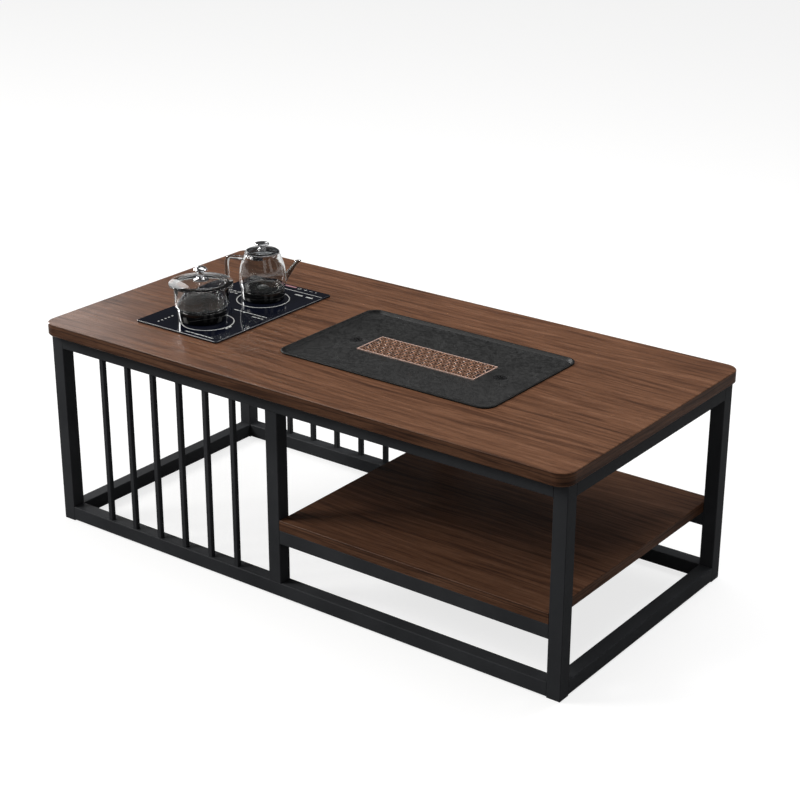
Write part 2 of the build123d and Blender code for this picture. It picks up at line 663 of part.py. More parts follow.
def fill_nozzle():
    """Nozzle that stands through the glass and fills the kettle from below."""
    stem_z = HOUSING_FLOOR_Z + PUMP_HEIGHT
    nozzle = drum(NOZZLE_STEM_RADIUS, stem_z, HOB_TOP_Z - stem_z, *REAR_ZONE)
    nozzle += drum(NOZZLE_FLANGE_RADIUS, HOB_TOP_Z, NOZZLE_FLANGE_HEIGHT, *REAR_ZONE)
    nozzle += drum(NOZZLE_TIP_RADIUS, HOB_TOP_Z, NOZZLE_TIP_HEIGHT, *REAR_ZONE)
    return nozzle - drum(NOZZLE_BORE, stem_z, HOB_TOP_Z + NOZZLE_TIP_HEIGHT - stem_z, *REAR_ZONE)


def water_inlet():
    """Hose stub under the housing."""
    flange_z = HOUSING_BOTTOM_Z - INLET_FLANGE_HEIGHT
    stub = drum(INLET_RADIUS, flange_z - INLET_LENGTH, INLET_LENGTH, *REAR_ZONE)
    stub += drum(INLET_FLANGE_RADIUS, flange_z, INLET_FLANGE_HEIGHT, *REAR_ZONE)
    stub += drum(INLET_RADIUS, HOUSING_BOTTOM_Z, HOUSING_WALL, *REAR_ZONE)
    low_z = flange_z - INLET_LENGTH
    return stub - drum(INLET_BORE, low_z, HOUSING_FLOOR_Z - low_z, *REAR_ZONE)


def power_gland():
    """Bushing in the housing's floor where the mains lead would come out."""
    low_z = HOUSING_FLOOR_Z - GLAND_LENGTH
    flange_z = HOUSING_BOTTOM_Z - GLAND_FLANGE_HEIGHT
    body = drum(GLAND_RADIUS, low_z, GLAND_LENGTH, HOB_X, GLAND_Y)
    body += drum(GLAND_FLANGE_RADIUS, flange_z, GLAND_FLANGE_HEIGHT, HOB_X, GLAND_Y)
    return body - drum(GLAND_BORE, low_z, GLAND_LENGTH, HOB_X, GLAND_Y)


def hob_clamp(side_x, y):
    """Bent clamp on the housing's side that draws the hob down against the top's underside."""
    face_x = HOUSING_WIDTH / 2
    foot_x = face_x + HOUSING_CLEARANCE + CLAMP_REACH
    leg = block(
        (face_x, -CLAMP_WIDTH / 2, FRAME_TOP_Z - CLAMP_DROP),
        (face_x + CLAMP_THICKNESS, CLAMP_WIDTH / 2, FRAME_TOP_Z),
    )
    foot = block(
        (face_x, -CLAMP_WIDTH / 2, FRAME_TOP_Z - CLAMP_THICKNESS),
        (foot_x, CLAMP_WIDTH / 2, FRAME_TOP_Z),
    )
    turn = 0.0 if side_x > 0 else FULL_TURN / 2
    return Pos(HOB_X, y, 0) * Rot(0, 0, turn) * (leg + foot)


def build_hob():
    """The hob let into the top, with its inner works."""
    save("hob_glass", hob_glass())
    save("hob_gasket", hob_gasket())
    save("hob_housing", hob_housing())
    save("control_board", control_board())
    save("front_coil", coil(FRONT_ZONE))
    save("rear_coil", coil(REAR_ZONE))
    save("coil_carriers", coil_carrier(FRONT_ZONE), coil_carrier(REAR_ZONE))
    save("fan_frame", fan_frame())
    save("fan_rotor", fan_rotor())
    save("water_pump", water_pump())
    save("fill_nozzle", fill_nozzle())
    save("water_inlet", water_inlet())
    save("power_gland", power_gland())
    places = [(side, HOB_Y + y) for side in (-1, 1) for y in in_row(2, CLAMP_SPREAD)]
    save("hob_clamps", *[hob_clamp(*place) for place in places])


# ---------------------------------------------------------------------------------- kettle
def kettle_form(wall=0.0):
    """Kettle's turned form on z = 0, drawn in by a wall."""
    foot = TangentArc(
        (KETTLE_FOOT_RADIUS - wall, wall),
        (KETTLE_LOW_RADIUS - wall, KETTLE_LOW_Z + wall),
        tangent=(1, 0),
    )
    side = ThreePointArc(
        foot @ 1,
        (KETTLE_BELLY_RADIUS - wall, KETTLE_BELLY_Z),
        (KETTLE_SHOULDER_RADIUS - wall, KETTLE_SHOULDER_Z),
    )
    closing = Polyline(
        side @ 1,
        (KETTLE_NECK_RADIUS - wall, KETTLE_HEIGHT),
        (0, KETTLE_HEIGHT),
        (0, wall),
        foot @ 0,
    )
    return turned(foot + side + closing)


def spout_cone(radius_cut=0.0):
    """Leaning cone of the spout, or of its bore when radius_cut is its wall."""
    rise = SPOUT_TIP_Z - SPOUT_ROOT_Z
    reach = SPOUT_TIP_REACH - SPOUT_ROOT_REACH
    run = math.hypot(rise, reach)
    length = run + SPOUT_OVERRUN
    thinning = (SPOUT_ROOT_RADIUS - SPOUT_TIP_RADIUS) / run
    end_radius = SPOUT_ROOT_RADIUS - thinning * length - radius_cut
    axis = Plane(origin=(SPOUT_ROOT_REACH, 0, SPOUT_ROOT_Z), z_dir=(reach, 0, rise))
    return axis * Cone(SPOUT_ROOT_RADIUS - radius_cut, end_radius, length, align=STANDING)


def kettle_spout():
    """Tapered glass beak, cut level at its mouth and fused to the kettle's side."""
    above = block(
        (0, -KETTLE_BELLY_RADIUS, SPOUT_TIP_Z),
        (3 * SPOUT_TIP_REACH, KETTLE_BELLY_RADIUS, SPOUT_TIP_Z + 3 * SPOUT_OVERRUN),
    )
    return spout_cone() - spout_cone(SPOUT_WALL) - kettle_form() - above


def kettle_glass():
    """Kettle's glass body with the port into the spout and the valve's hole in the floor."""
    body = kettle_form() - kettle_form(KETTLE_WALL) - spout_cone(SPOUT_WALL)
    return body - drum(VALVE_NECK_RADIUS + VALVE_CLEARANCE, 0, KETTLE_WALL)


def kettle_handle():
    """Bent glass rod, fused to the shoulder, with a free rounded lower end."""
    start = (KETTLE_NECK_RADIUS - KETTLE_WALL, HANDLE_TOP_Z)
    shoulder = (HANDLE_REACH - HANDLE_RADIUS, HANDLE_TOP_Z + HANDLE_SHOULDER_RISE)
    knee = (HANDLE_REACH, HANDLE_KNEE_Z)
    end = (HANDLE_END_REACH, HANDLE_END_Z)
    route = Plane.XZ * FilletPolyline(start, shoulder, knee, end, radius=HANDLE_BEND)
    section = Plane(origin=route @ 0, z_dir=route % 0) * Circle(HANDLE_RADIUS)
    rod = sweep(section, path=route) + Pos(*(route @ 1)) * Sphere(HANDLE_RADIUS)
    return Rot(0, 0, 180) * (rod - kettle_form())


def kettle_base():
    """Black plastic base with a socket for the filling valve."""
    base = turned_points([
        (0, 0),
        (KETTLE_BASE_RADIUS - KETTLE_BASE_TAPER, 0),
        (KETTLE_BASE_RADIUS, KETTLE_BASE_TAPER),
        (KETTLE_BASE_RADIUS, KETTLE_BASE_HEIGHT),
        (0, KETTLE_BASE_HEIGHT),
    ])
    return base - drum(VALVE_RADIUS + VALVE_CLEARANCE, 0, KETTLE_BASE_HEIGHT)


def kettle_valve():
    """Filling valve: it comes down over the nozzle, and its head seats inside the glass."""
    bottom_z = KETTLE_BASE_HEIGHT - VALVE_HEIGHT
    valve = drum(VALVE_RADIUS, bottom_z, VALVE_HEIGHT)
    valve += drum(VALVE_NECK_RADIUS, KETTLE_BASE_HEIGHT, KETTLE_WALL)
    valve += drum(VALVE_HEAD_RADIUS, KETTLE_BASE_HEIGHT + KETTLE_WALL, VALVE_HEAD_HEIGHT)
    mouth_radius = NOZZLE_TIP_RADIUS + NOZZLE_CLEARANCE
    return valve - drum(mouth_radius, bottom_z, VALVE_BORE_DEPTH)


def lid_band():
    """Steel band: a flange on the kettle's rim and a skirt inside its neck."""
    neck_inside = KETTLE_NECK_RADIUS - KETTLE_WALL
    skirt = neck_inside - LID_BAND_CLEARANCE
    flange = KETTLE_NECK_RADIUS + LID_BAND_OVERHANG
    seat = skirt - LID_BAND_WALL
    return turned_points([
        (seat, -LID_BAND_SKIRT),
        (skirt, -LID_BAND_SKIRT),
        (skirt, LIFT_GAP),
        (flange, LIFT_GAP),
        (flange, LIFT_GAP + LID_BAND_FLANGE),
        (seat, LIFT_GAP + LID_BAND_FLANGE),
    ])


def lid_glass():
    """Shallow glass dome seated on the band's flange."""
    skirt = KETTLE_NECK_RADIUS - KETTLE_WALL - LID_BAND_CLEARANCE
    low_z = LIFT_GAP + LID_BAND_FLANGE
    rim = skirt + LID_BAND_WALL
    over_z = low_z + LID_GLASS
    under = dome_arc(rim, low_z, LID_DOME_RISE)
    over = dome_arc(rim, over_z, LID_DOME_RISE)
    return turned(under + Line(under @ 1, over @ 1) + over + Line((rim, over_z), (rim, low_z)))


def kettle_knob():
    """Wide, dished knob on a narrow stem."""
    cap_z = KETTLE_KNOB_HEIGHT - KETTLE_KNOB_CAP
    rim_z = KETTLE_KNOB_HEIGHT
    lower = Polyline(
        (0, -KETTLE_KNOB_FOOT_SINK),
        (KETTLE_KNOB_FOOT, -KETTLE_KNOB_FOOT_SINK),
        (KETTLE_KNOB_FOOT, KETTLE_KNOB_FOOT_HEIGHT),
        (KETTLE_KNOB_STEM, 2 * KETTLE_KNOB_FOOT_HEIGHT),
        (KETTLE_KNOB_STEM, cap_z),
        (KETTLE_KNOB_RADIUS, rim_z - KETTLE_KNOB_DISH),
        (KETTLE_KNOB_RADIUS - KETTLE_KNOB_DISH, rim_z),
    )
    dish = dome_arc(KETTLE_KNOB_RADIUS - KETTLE_KNOB_DISH, rim_z, -KETTLE_KNOB_DISH)
    return turned(lower + dish + Line(dish @ 1, (0, -KETTLE_KNOB_FOOT_SINK)))


def build_kettle():
    """Kettle on the rear zone, with its lid."""
    place = Pos(*REAR_ZONE, VESSEL_Z)
    glass_place = Pos(*REAR_ZONE, KETTLE_GLASS_Z) * Rot(0, 0, KETTLE_TURN)
    rim_place = Pos(*REAR_ZONE, KETTLE_RIM_Z)
    knob_z = LIFT_GAP + LID_BAND_FLANGE + LID_GLASS + LID_DOME_RISE
    knob = Pos(0, 0, knob_z) * kettle_knob() - lid_glass()
    save("kettle_base", place * kettle_base())
    save("kettle_valve", place * kettle_valve())
    save("kettle_glass", glass_place * kettle_glass())
    save("kettle_spout", glass_place * kettle_spout())
    save("kettle_handle", glass_place * kettle_handle())
    save("kettle_lid_band", rim_place * lid_band())
    save("kettle_lid_glass", rim_place * lid_glass())
    save("kettle_lid_knob", rim_place * knob)


# ---------------------------------------------------------------------------------- pot
def pot_form(wall=0.0):
    """Pot's straight-sided form on z = 0, drawn in by a wall."""
    form = Pos(0, 0, wall) * Cylinder(POT_RADIUS - wall, POT_HEIGHT - wall, align=STANDING)
    return fillet(form.faces().sort_by(Axis.Z)[0].edges(), POT_FOOT_ROUND - wall)


def pot_glass():
    """Glass pot with two small ears under its rim."""
    ear_z = POT_HEIGHT - EAR_DROP - EAR_THICKNESS
    ears = plate(2 * EAR_REACH, EAR_WIDTH, EAR_CORNER, ear_z, EAR_THICKNESS)
    return pot_form() + ears - pot_form(POT_WALL)


def pot_base():
    """Black base that the glass pot stands in."""
    return turned_points([
        (0, 0),
        (POT_BASE_RADIUS - POT_BASE_TAPER, 0),
        (POT_BASE_RADIUS, POT_BASE_HEIGHT),
        (0, POT_BASE_HEIGHT),
    ])


def pot_lid():
    """Domed glass lid with a rim that overhangs the pot and a ring that centres it."""
    ring = POT_RADIUS - POT_WALL - POT_LID_CLEARANCE
    ring_in = ring - POT_LID_RING_WALL
    rim_z = LIFT_GAP + POT_LID_RIM_HEIGHT
    under = dome_arc(ring_in, LIFT_GAP, POT_LID_RISE)
    over = dome_arc(POT_LID_RADIUS, rim_z, POT_LID_RISE)
    rim = Polyline(
        over @ 0,
        (POT_LID_RADIUS, LIFT_GAP),
        (ring, LIFT_GAP),
        (ring, -POT_LID_RING),
        (ring_in, -POT_LID_RING),
        under @ 0,
    )
    return turned(under + Line(under @ 1, over @ 1) + over + rim)


def pot_knob():
    """Mushroom knob on a broad foot."""
    cap_z = POT_KNOB_HEIGHT - POT_KNOB_CAP
    edge_z = cap_z + POT_KNOB_UNDERCUT
    lower = Polyline(
        (0, -POT_KNOB_FOOT_SINK),
        (POT_KNOB_FOOT, -POT_KNOB_FOOT_SINK),
        (POT_KNOB_FOOT, POT_KNOB_FOOT_HEIGHT / 2),
        (POT_KNOB_STEM, 2 * POT_KNOB_FOOT_HEIGHT),
        (POT_KNOB_STEM, cap_z),
        (POT_KNOB_RADIUS, edge_z),
    )
    cap = Spline((POT_KNOB_RADIUS, edge_z), (0, POT_KNOB_HEIGHT), tangents=[(0, 1), (-1, 0)])
    return turned(lower + cap + Line((0, POT_KNOB_HEIGHT), (0, -POT_KNOB_FOOT_SINK)))


def build_pot():
    """Pot on the front zone, with its lid."""
    rim_place = Pos(*FRONT_ZONE, POT_RIM_Z)
    knob_z = LIFT_GAP + POT_LID_RIM_HEIGHT + POT_LID_RISE
    knob = Pos(0, 0, knob_z) * pot_knob() - pot_lid()
    save("pot_base", Pos(*FRONT_ZONE, VESSEL_Z) * pot_base())
    save("pot_glass", Pos(*FRONT_ZONE, POT_GLASS_Z) * Rot(0, 0, POT_TURN) * pot_glass())
    save("pot_lid_glass", rim_place * pot_lid())
    save("pot_lid_knob", rim_place * knob)


# ---------------------------------------------------------------------------------- tea tray
def strainer_places():
    """Middles of the two round strainers."""
    return [(TRAY_X + x, TRAY_Y) for x in in_row(2, STRAINER_SPREAD)]


def tea_tray():
    """Shallow basin with a lip that rests on the top, a seat for the grille and two drains."""
    tray = plate(TRAY_LENGTH, TRAY_WIDTH, TRAY_CORNER_RADIUS, TRAY_LIP_Z, TRAY_LIP_HEIGHT)
    tray = chamfer(tray.faces().sort_by(Axis.Z)[-1].edges(), TRAY_LIP_CHAMFER)
    tray += plate(
        TRAY_LENGTH - 2 * TRAY_BEARING,
        TRAY_WIDTH - 2 * TRAY_BEARING,
        TRAY_CORNER_RADIUS - TRAY_BEARING,
        TRAY_UNDER_Z,
        TRAY_LIP_Z - TRAY_UNDER_Z,
    )
    inset = TRAY_LIP_WIDTH + TRAY_WALL_SLOPE
    basin = RectangleRounded(
        TRAY_LENGTH - 2 * inset, TRAY_WIDTH - 2 * inset, TRAY_CORNER_RADIUS - inset
    )
    slope = math.degrees(math.atan2(TRAY_WALL_SLOPE, TRAY_DEPTH))
    tray -= Pos(0, 0, TRAY_FLOOR_Z) * extrude(basin, TRAY_DEPTH, taper=-slope)
    tray -= Pos(0, 0, LEDGE_Z) * Box(GRILLE_LENGTH, GRILLE_WIDTH, TRAY_DEPTH, align=STANDING)
    drain_length = GRILLE_LENGTH - 2 * GRILLE_LEDGE
    drain_width = GRILLE_WIDTH - 2 * GRILLE_LEDGE
    tray -= Pos(0, 0, TRAY_UNDER_Z) * Box(drain_length, drain_width, TRAY_DEPTH, align=STANDING)
    tray = Pos(TRAY_X, TRAY_Y, 0) * tray
    for x, y in strainer_places():
        tray -= drum(STRAINER_RADIUS + GRILLE_CLEARANCE, STRAINER_SEAT_Z, TRAY_DEPTH, x, y)
        tray -= drum(STRAINER_DRAIN_RADIUS, TRAY_UNDER_Z, TRAY_FLOOR, x, y)
    return tray


def drain_pan():
    """Pan bonded under the tray that gathers the water from the grille and the strainers."""
    length = STRAINER_SPREAD + 2 * PAN_END_MARGIN
    pan = plate(length, PAN_WIDTH, PAN_CORNER_RADIUS, PAN_BOTTOM_Z, PAN_DEPTH, TRAY_X, TRAY_Y)
    pan -= plate(
        length - 2 * PAN_WALL,
        PAN_WIDTH - 2 * PAN_WALL,
        PAN_CORNER_RADIUS - PAN_WALL,
        PAN_BOTTOM_Z + PAN_WALL,
        PAN_DEPTH,
        TRAY_X,
        TRAY_Y,
    )
    return pan - drum(SPIGOT_RADIUS + SPIGOT_CLEARANCE, PAN_BOTTOM_Z, PAN_WALL, SPIGOT_X, TRAY_Y)


def drain_spigot():
    """Flanged spigot through the pan's floor, with a slimmer tail for the hose."""
    flange_z = PAN_BOTTOM_Z + PAN_WALL
    nut_z = PAN_BOTTOM_Z - NUT_HEIGHT
    low_z = nut_z - SPIGOT_TAIL_LENGTH
    spigot = drum(SPIGOT_TAIL_RADIUS, low_z, SPIGOT_TAIL_LENGTH, SPIGOT_X, TRAY_Y)
    spigot += drum(SPIGOT_RADIUS, nut_z, flange_z - nut_z, SPIGOT_X, TRAY_Y)
    spigot += drum(SPIGOT_FLANGE_RADIUS, flange_z, SPIGOT_FLANGE_HEIGHT, SPIGOT_X, TRAY_Y)
    height = flange_z + SPIGOT_FLANGE_HEIGHT - low_z
    return spigot - drum(SPIGOT_BORE, low_z, height, SPIGOT_X, TRAY_Y)


def spigot_nut():
    """Six-sided nut that draws the spigot's flange down on the pan."""
    nut = extrude(RegularPolygon(NUT_RADIUS, NUT_SIDES), NUT_HEIGHT)
    nut -= drum(SPIGOT_RADIUS + SPIGOT_CLEARANCE, 0, NUT_HEIGHT)
    return Pos(SPIGOT_X, TRAY_Y, PAN_BOTTOM_Z - NUT_HEIGHT) * nut


def grille_border():
    """Thin metal border round the drain panel."""
    length = GRILLE_LENGTH - 2 * GRILLE_CLEARANCE
    width = GRILLE_WIDTH - 2 * GRILLE_CLEARANCE
    height = GRILLE_THICKNESS + GRILLE_BORDER_PROUD
    border = Box(length, width, height, align=STANDING)
    border -= Box(length - 2 * GRILLE_BORDER, width - 2 * GRILLE_BORDER, height, align=STANDING)
    return Pos(TRAY_X, TRAY_Y, LEDGE_Z + LIFT_GAP) * border


def drain_grille():
    """Drain panel pierced by staggered rows of square holes set on their corners."""
    smaller = 2 * GRILLE_CLEARANCE + 2 * GRILLE_BORDER
    outline = Rectangle(GRILLE_LENGTH - smaller, GRILLE_WIDTH - smaller)
    hole = Rot(0, 0, GRILLE_HOLE_TURN) * Rectangle(GRILLE_HOLE_SIZE, GRILLE_HOLE_SIZE)
    holes = []
    for row, y in enumerate(in_row(GRILLE_HOLE_ROWS, GRILLE_HOLE_PITCH_Y)):
        count = GRILLE_HOLE_COLUMNS - row % 2
        holes += [Pos(x, y) * hole for x in in_row(count, GRILLE_HOLE_PITCH_X)]
    panel = extrude(outline - holes, GRILLE_THICKNESS)
    return Pos(TRAY_X, TRAY_Y, LEDGE_Z + LIFT_GAP) * panel


def strainer(x, y):
    """Round strainer disc with a ring of slots."""
    disc = drum(STRAINER_RADIUS, 0, STRAINER_THICKNESS)
    length = STRAINER_SLOT_OUTER - STRAINER_SLOT_INNER
    slot = Pos(STRAINER_SLOT_INNER + length / 2, 0) * Box(
        length, STRAINER_SLOT_WIDTH, STRAINER_THICKNESS, align=STANDING
    )
    for i in range(STRAINER_SLOT_COUNT):
        disc -= Rot(0, 0, FULL_TURN * i / STRAINER_SLOT_COUNT) * slot
    return Pos(x, y, STRAINER_SEAT_Z + LIFT_GAP) * disc


def build_tray():
    """Tea tray with its drain."""
    left, right = strainer_places()
    save("tea_tray", tea_tray())
    save("drain_pan", drain_pan())
    save("drain_spigot", drain_spigot())
    save("spigot_nut", spigot_nut())
    save("grille_border", grille_border())
    save("drain_grille", drain_grille())
    save("left_strainer", strainer(*left))
    save("right_strainer", strainer(*right))


os.makedirs("parts", exist_ok=True)
build_frame()
build_wood()
build_hob()
build_kettle()
build_pot()
build_tray()
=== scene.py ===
"""Finishes, fine pieces, studio and camera of a gongfu tea table with a let-in hob and a tea tray.

Everything is in metres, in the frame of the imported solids: the origin lies on the floor under the
middle of the top, +X runs towards the shelf end, -Y is the barred front and +Z is up.
"""
import cmath
import logging
import math
from dataclasses import dataclass
from enum import Enum
from itertools import product
from typing import Sequence, Union

import bmesh
import bpy
from mathutils import Matrix, Vector


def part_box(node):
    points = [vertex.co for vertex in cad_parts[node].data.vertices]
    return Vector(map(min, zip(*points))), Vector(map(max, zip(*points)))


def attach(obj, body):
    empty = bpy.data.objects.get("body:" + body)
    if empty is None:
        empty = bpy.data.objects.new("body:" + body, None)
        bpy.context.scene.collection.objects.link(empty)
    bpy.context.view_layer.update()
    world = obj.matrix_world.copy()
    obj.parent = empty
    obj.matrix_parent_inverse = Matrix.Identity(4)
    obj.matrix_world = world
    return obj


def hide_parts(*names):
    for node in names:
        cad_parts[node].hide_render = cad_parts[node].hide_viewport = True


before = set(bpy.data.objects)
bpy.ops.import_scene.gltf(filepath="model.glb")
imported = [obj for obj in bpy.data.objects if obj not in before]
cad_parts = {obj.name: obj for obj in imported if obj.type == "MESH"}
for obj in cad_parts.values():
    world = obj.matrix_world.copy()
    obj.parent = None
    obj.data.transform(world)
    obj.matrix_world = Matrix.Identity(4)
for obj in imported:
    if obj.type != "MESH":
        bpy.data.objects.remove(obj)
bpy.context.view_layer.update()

Triple = tuple[float, float, float]
Colour = Triple
Point = tuple[float, float]
Socket = bpy.types.NodeSocket
Input = Union[Socket, float, int, bool, Sequence[float]]

LOG = logging.getLogger("tea_table")
MM = 0.001
FULL_TURN = 2.0 * math.pi
MERGE_DISTANCE = 1e-6
NEAR = 0.1 * MM
RIM_ANGLE = 50.0
WHITE = (1.0, 1.0, 1.0)


class Body(Enum):
    """Bodies that the new pieces ride on."""

    TABLE = "table"
    KETTLE = "kettle"
    KETTLE_LID = "kettle_lid"
    POT = "pot"
    POT_LID = "pot_lid"
    TRAY = "tray"
    GRILLE = "grille"


class Blend(Enum):
    """Ways in which one colour is laid over another."""

    MIX = "MIX"
    MULTIPLY = "MULTIPLY"


class Cut(Enum):
    """How one solid is worked into another."""

    JOIN = "UNION"
    TAKE_AWAY = "DIFFERENCE"


# ------------------------------------------------------------------------------ shader graphs
class Graph:
    """A shader graph, built one node at a time."""

    def __init__(self, owner: Union[bpy.types.Material, bpy.types.World]) -> None:
        """Start an empty graph.

        Args:
            owner: the material or world that it belongs to.
        """
        owner.use_nodes = True
        self.tree = owner.node_tree
        self.tree.nodes.clear()

    def add(self, kind: str, inputs: dict, **settings: object) -> bpy.types.Node:
        """Add a node.

        Args:
            kind: the node's type name, without the shader nodes' prefix.
            inputs: a value or a socket for each input, by its name or number.
            settings: the node's own options.

        Returns:
            The new node.
        """
        node = self.tree.nodes.new(f"ShaderNode{kind}")
        for key, setting in settings.items():
            setattr(node, key, setting)
        for key, value in inputs.items():
            if isinstance(value, Socket):
                self.tree.links.new(value, node.inputs[key])
            elif node.inputs[key].type == "RGBA":
                node.inputs[key].default_value = (*value, 1.0)
            else:
                node.inputs[key].default_value = value
        return node

    def position(self) -> Socket:
        """Place on the piece, in metres."""
        return self.add("TexCoord", {}).outputs["Object"]

    def parts(self, vector: Socket) -> tuple[Socket, Socket, Socket]:
        """Split a vector into its three numbers."""
        node = self.add("SeparateXYZ", {"Vector": vector})
        return node.outputs["X"], node.outputs["Y"], node.outputs["Z"]

    def upward(self) -> Socket:
        """How far the surface faces up: 1 on a top, -1 below, 0 on a side."""
        return self.parts(self.add("TexCoord", {}).outputs["Normal"])[2]

    def vector(self, x: Input, y: Input, z: Input) -> Socket:
        """Join three numbers into a vector."""
        return self.add("CombineXYZ", {"X": x, "Y": y, "Z": z}).outputs["Vector"]

    def ray(self, *kinds: str) -> Socket:
        """One where the light path is of this kind, or of either of two.

        Args:
            kinds: one or two of the kinds that a light path tells apart.

        Returns:
            The value.
        """
        path = self.add("LightPath", {}).outputs
        found = [path[f"Is {kind} Ray"] for kind in kinds]
        return found[0] if len(found) == 1 else self.maths("MAXIMUM", *found)

    def noise(
        self, vector: Socket, scale: Union[float, Triple], detail: float = 3.0,
        roughness: float = 0.5, shift: Triple = (0.0, 0.0, 0.0),
    ) -> Socket:
        """Soft random values round one half.

        Args:
            vector: where it is read.
            scale: lumps in each unit of the vector, for all axes or for each of the three.
            detail: how many finer layers are added.
            roughness: how strong the finer layers are.
            shift: what is added to a stretched vector.

        Returns:
            The value.
        """
        if not isinstance(scale, float):
            stretched = {"Vector": vector, "Scale": scale, "Location": shift}
            vector, scale = self.add("Mapping", stretched).outputs["Vector"], 1.0
        inputs = {"Vector": vector, "Scale": scale, "Detail": detail, "Roughness": roughness}
        return self.add("TexNoise", inputs).outputs[0]

    def maths(self, operation: str, first: Input, second: Input = 0.0) -> Socket:
        """Work out one number from two."""
        return self.add("Math", {0: first, 1: second}, operation=operation).outputs[0]

    def times(self, first: Input, second: Input) -> Socket:
        """Product of two numbers."""
        return self.maths("MULTIPLY", first, second)

    def total(self, *terms: tuple[Input, Input]) -> Socket:
        """Add up products.

        Args:
            terms: the two numbers of each product.

        Returns:
            The sum.
        """
        result = self.times(*terms[0])
        for term in terms[1:]:
            result = self.maths("ADD", result, self.times(*term))
        return result

    def reach(self, axis: Sequence[float]) -> Socket:
        """Distance of each place on the piece from an upright axis, given by its x and y."""
        sides = [self.maths("SUBTRACT", *pair) for pair in zip(self.parts(self.position()), axis)]
        return self.maths("SQRT", self.total(*((side, side) for side in sides)))

    def levels(
        self, value: Socket, low: float, high: float, to_low: float = 0.0, to_high: float = 1.0,
    ) -> Socket:
        """Carry a range of values onto another and hold it there.

        Args:
            value: what is carried.
            low: value that becomes to_low.
            high: value that becomes to_high.
            to_low: start of the new range.
            to_high: end of the new range.

        Returns:
            The new value.
        """
        names = ("Value", "From Min", "From Max", "To Min", "To Max")
        inputs = dict(zip(names, (value, low, high, to_low, to_high)))
        return self.add("MapRange", inputs, clamp=True).outputs["Result"]

    def band(self, value: Socket, middle: float, half_width: float, soft: float) -> Socket:
        """One where value is near middle, falling to nothing past half_width over a soft edge."""
        away = self.maths("ABSOLUTE", self.maths("SUBTRACT", value, middle))
        return self.levels(away, half_width, half_width + soft, 1.0, 0.0)

    def either(self, factor: Input, first: Input, second: Input) -> Socket:
        """Number between two, by a factor."""
        return self.add("Mix", {0: factor, 2: first, 3: second}, data_type="FLOAT").outputs[0]

    def blend(self, factor: Input, first: Input, second: Input, mode: Blend = Blend.MIX) -> Socket:
        """Lay a second colour over the first, as far as the factor says."""
        sides = {0: factor, 6: first, 7: second}
        return self.add("Mix", sides, data_type="RGBA", blend_type=mode.value).outputs[2]

    def shaded(self, colour: Socket, mask: Socket, shades: Point) -> Socket:
        """Darken a colour by one painted shade where the mask is 0 and by another where it is 1."""
        greys = [(painted_shade, painted_shade, painted_shade) for painted_shade in shades]
        return self.blend(1.0, colour, self.blend(mask, *greys), Blend.MULTIPLY)

    def ramp(self, value: Socket, stops: Sequence[tuple[float, Colour]]) -> Socket:
        """Turn a value into a colour.

        Args:
            value: what is turned.
            stops: colours, each with the value at which it is whole.

        Returns:
            The colour.
        """
        node = self.add("ValToRGB", {"Fac": value})
        elements = node.color_ramp.elements
        while len(elements) < len(stops):
            elements.new(0.5)
        for element, (place, colour) in zip(elements, stops):
            element.position = place
            element.color = (*colour, 1.0)
        return node.outputs["Color"]

    def bump(self, height: Socket, distance: float, strength: float) -> Socket:
        """Fine relief from a height of 0 to 1, whose real height is a distance in metres."""
        inputs = {"Height": height, "Distance": distance, "Strength": strength}
        return self.add("Bump", inputs).outputs["Normal"]

    def show(self, shader: bpy.types.Node) -> None:
        """Make this shader the surface."""
        self.add("OutputMaterial", {"Surface": shader.outputs[0]})

    def coat(self, inputs: dict) -> None:
        """Make the main shader with these inputs the surface."""
        self.show(self.add("BsdfPrincipled", inputs))


# ------------------------------------------------------------------------------ finishes
@dataclass(frozen=True)
class Finish:
    """What every finish has: a material's name and the slot of the record that it stands for."""

    name: str
    slot: str

    def paint(self, graph: Graph) -> None:
        """Build the shader into graph.

        Args:
            graph: an empty graph.
        """
        raise NotImplementedError

    def material(self) -> bpy.types.Material:
        """Material of this finish, made when it is first asked for.

        Returns:
            The material.
        """
        found = bpy.data.materials.get(self.name)
        if found is None:
            found = bpy.data.materials.new(self.name)
            self.paint(Graph(found))
        return found


def scaled(colour: Colour, share: float, lift: float = 0.0) -> Colour:
    """Colour times a share, with the same lift added to each part."""
    return tuple(share * part + lift for part in colour)


@dataclass(frozen=True)
class PowderCoat(Finish):
    """Baked black powder on steel: a fine peel, faint clouds and a dull satin."""

    low: Colour = (0.0300, 0.0315, 0.0345)
    high: Colour = (0.0410, 0.0428, 0.0465)
    dust: Colour = (0.04, 0.04, 0.042)

    def paint(self, graph: Graph) -> None:
        """Build the shader into graph."""
        place = graph.position()
        peel = graph.noise(place, 900.0, 2.0)
        cloud = graph.levels(graph.noise(place, 7.0, 4.0), 0.35, 0.65)
        dust = graph.levels(graph.noise(place, 2600.0, 1.0), 0.70, 0.78)
        colour = graph.blend(cloud, self.low, self.high)
        graph.coat({
            "Base Color": graph.blend(graph.times(dust, 0.25), colour, self.dust),
            "Roughness": graph.levels(cloud, 0.0, 1.0, 0.40, 0.50),
            "Specular IOR Level": 0.05,
            "Normal": graph.bump(peel, 0.00008, 0.6),
        })


@dataclass(frozen=True)
class Figure:
    """One layer of the wood's figure: how it is stretched, its levels and its share of the tone."""

    stretch: Point
    shift: Point
    detail: float
    roughness: float
    levels: Point
    share: float

    def read(self, graph: Graph, vector: Socket) -> Socket:
        """Raw value of the layer along a (along, across, face) vector."""
        scale, shift = (*self.stretch, 3.0), (*self.shift, 0.0)
        return graph.noise(vector, scale, self.detail, self.roughness, shift)


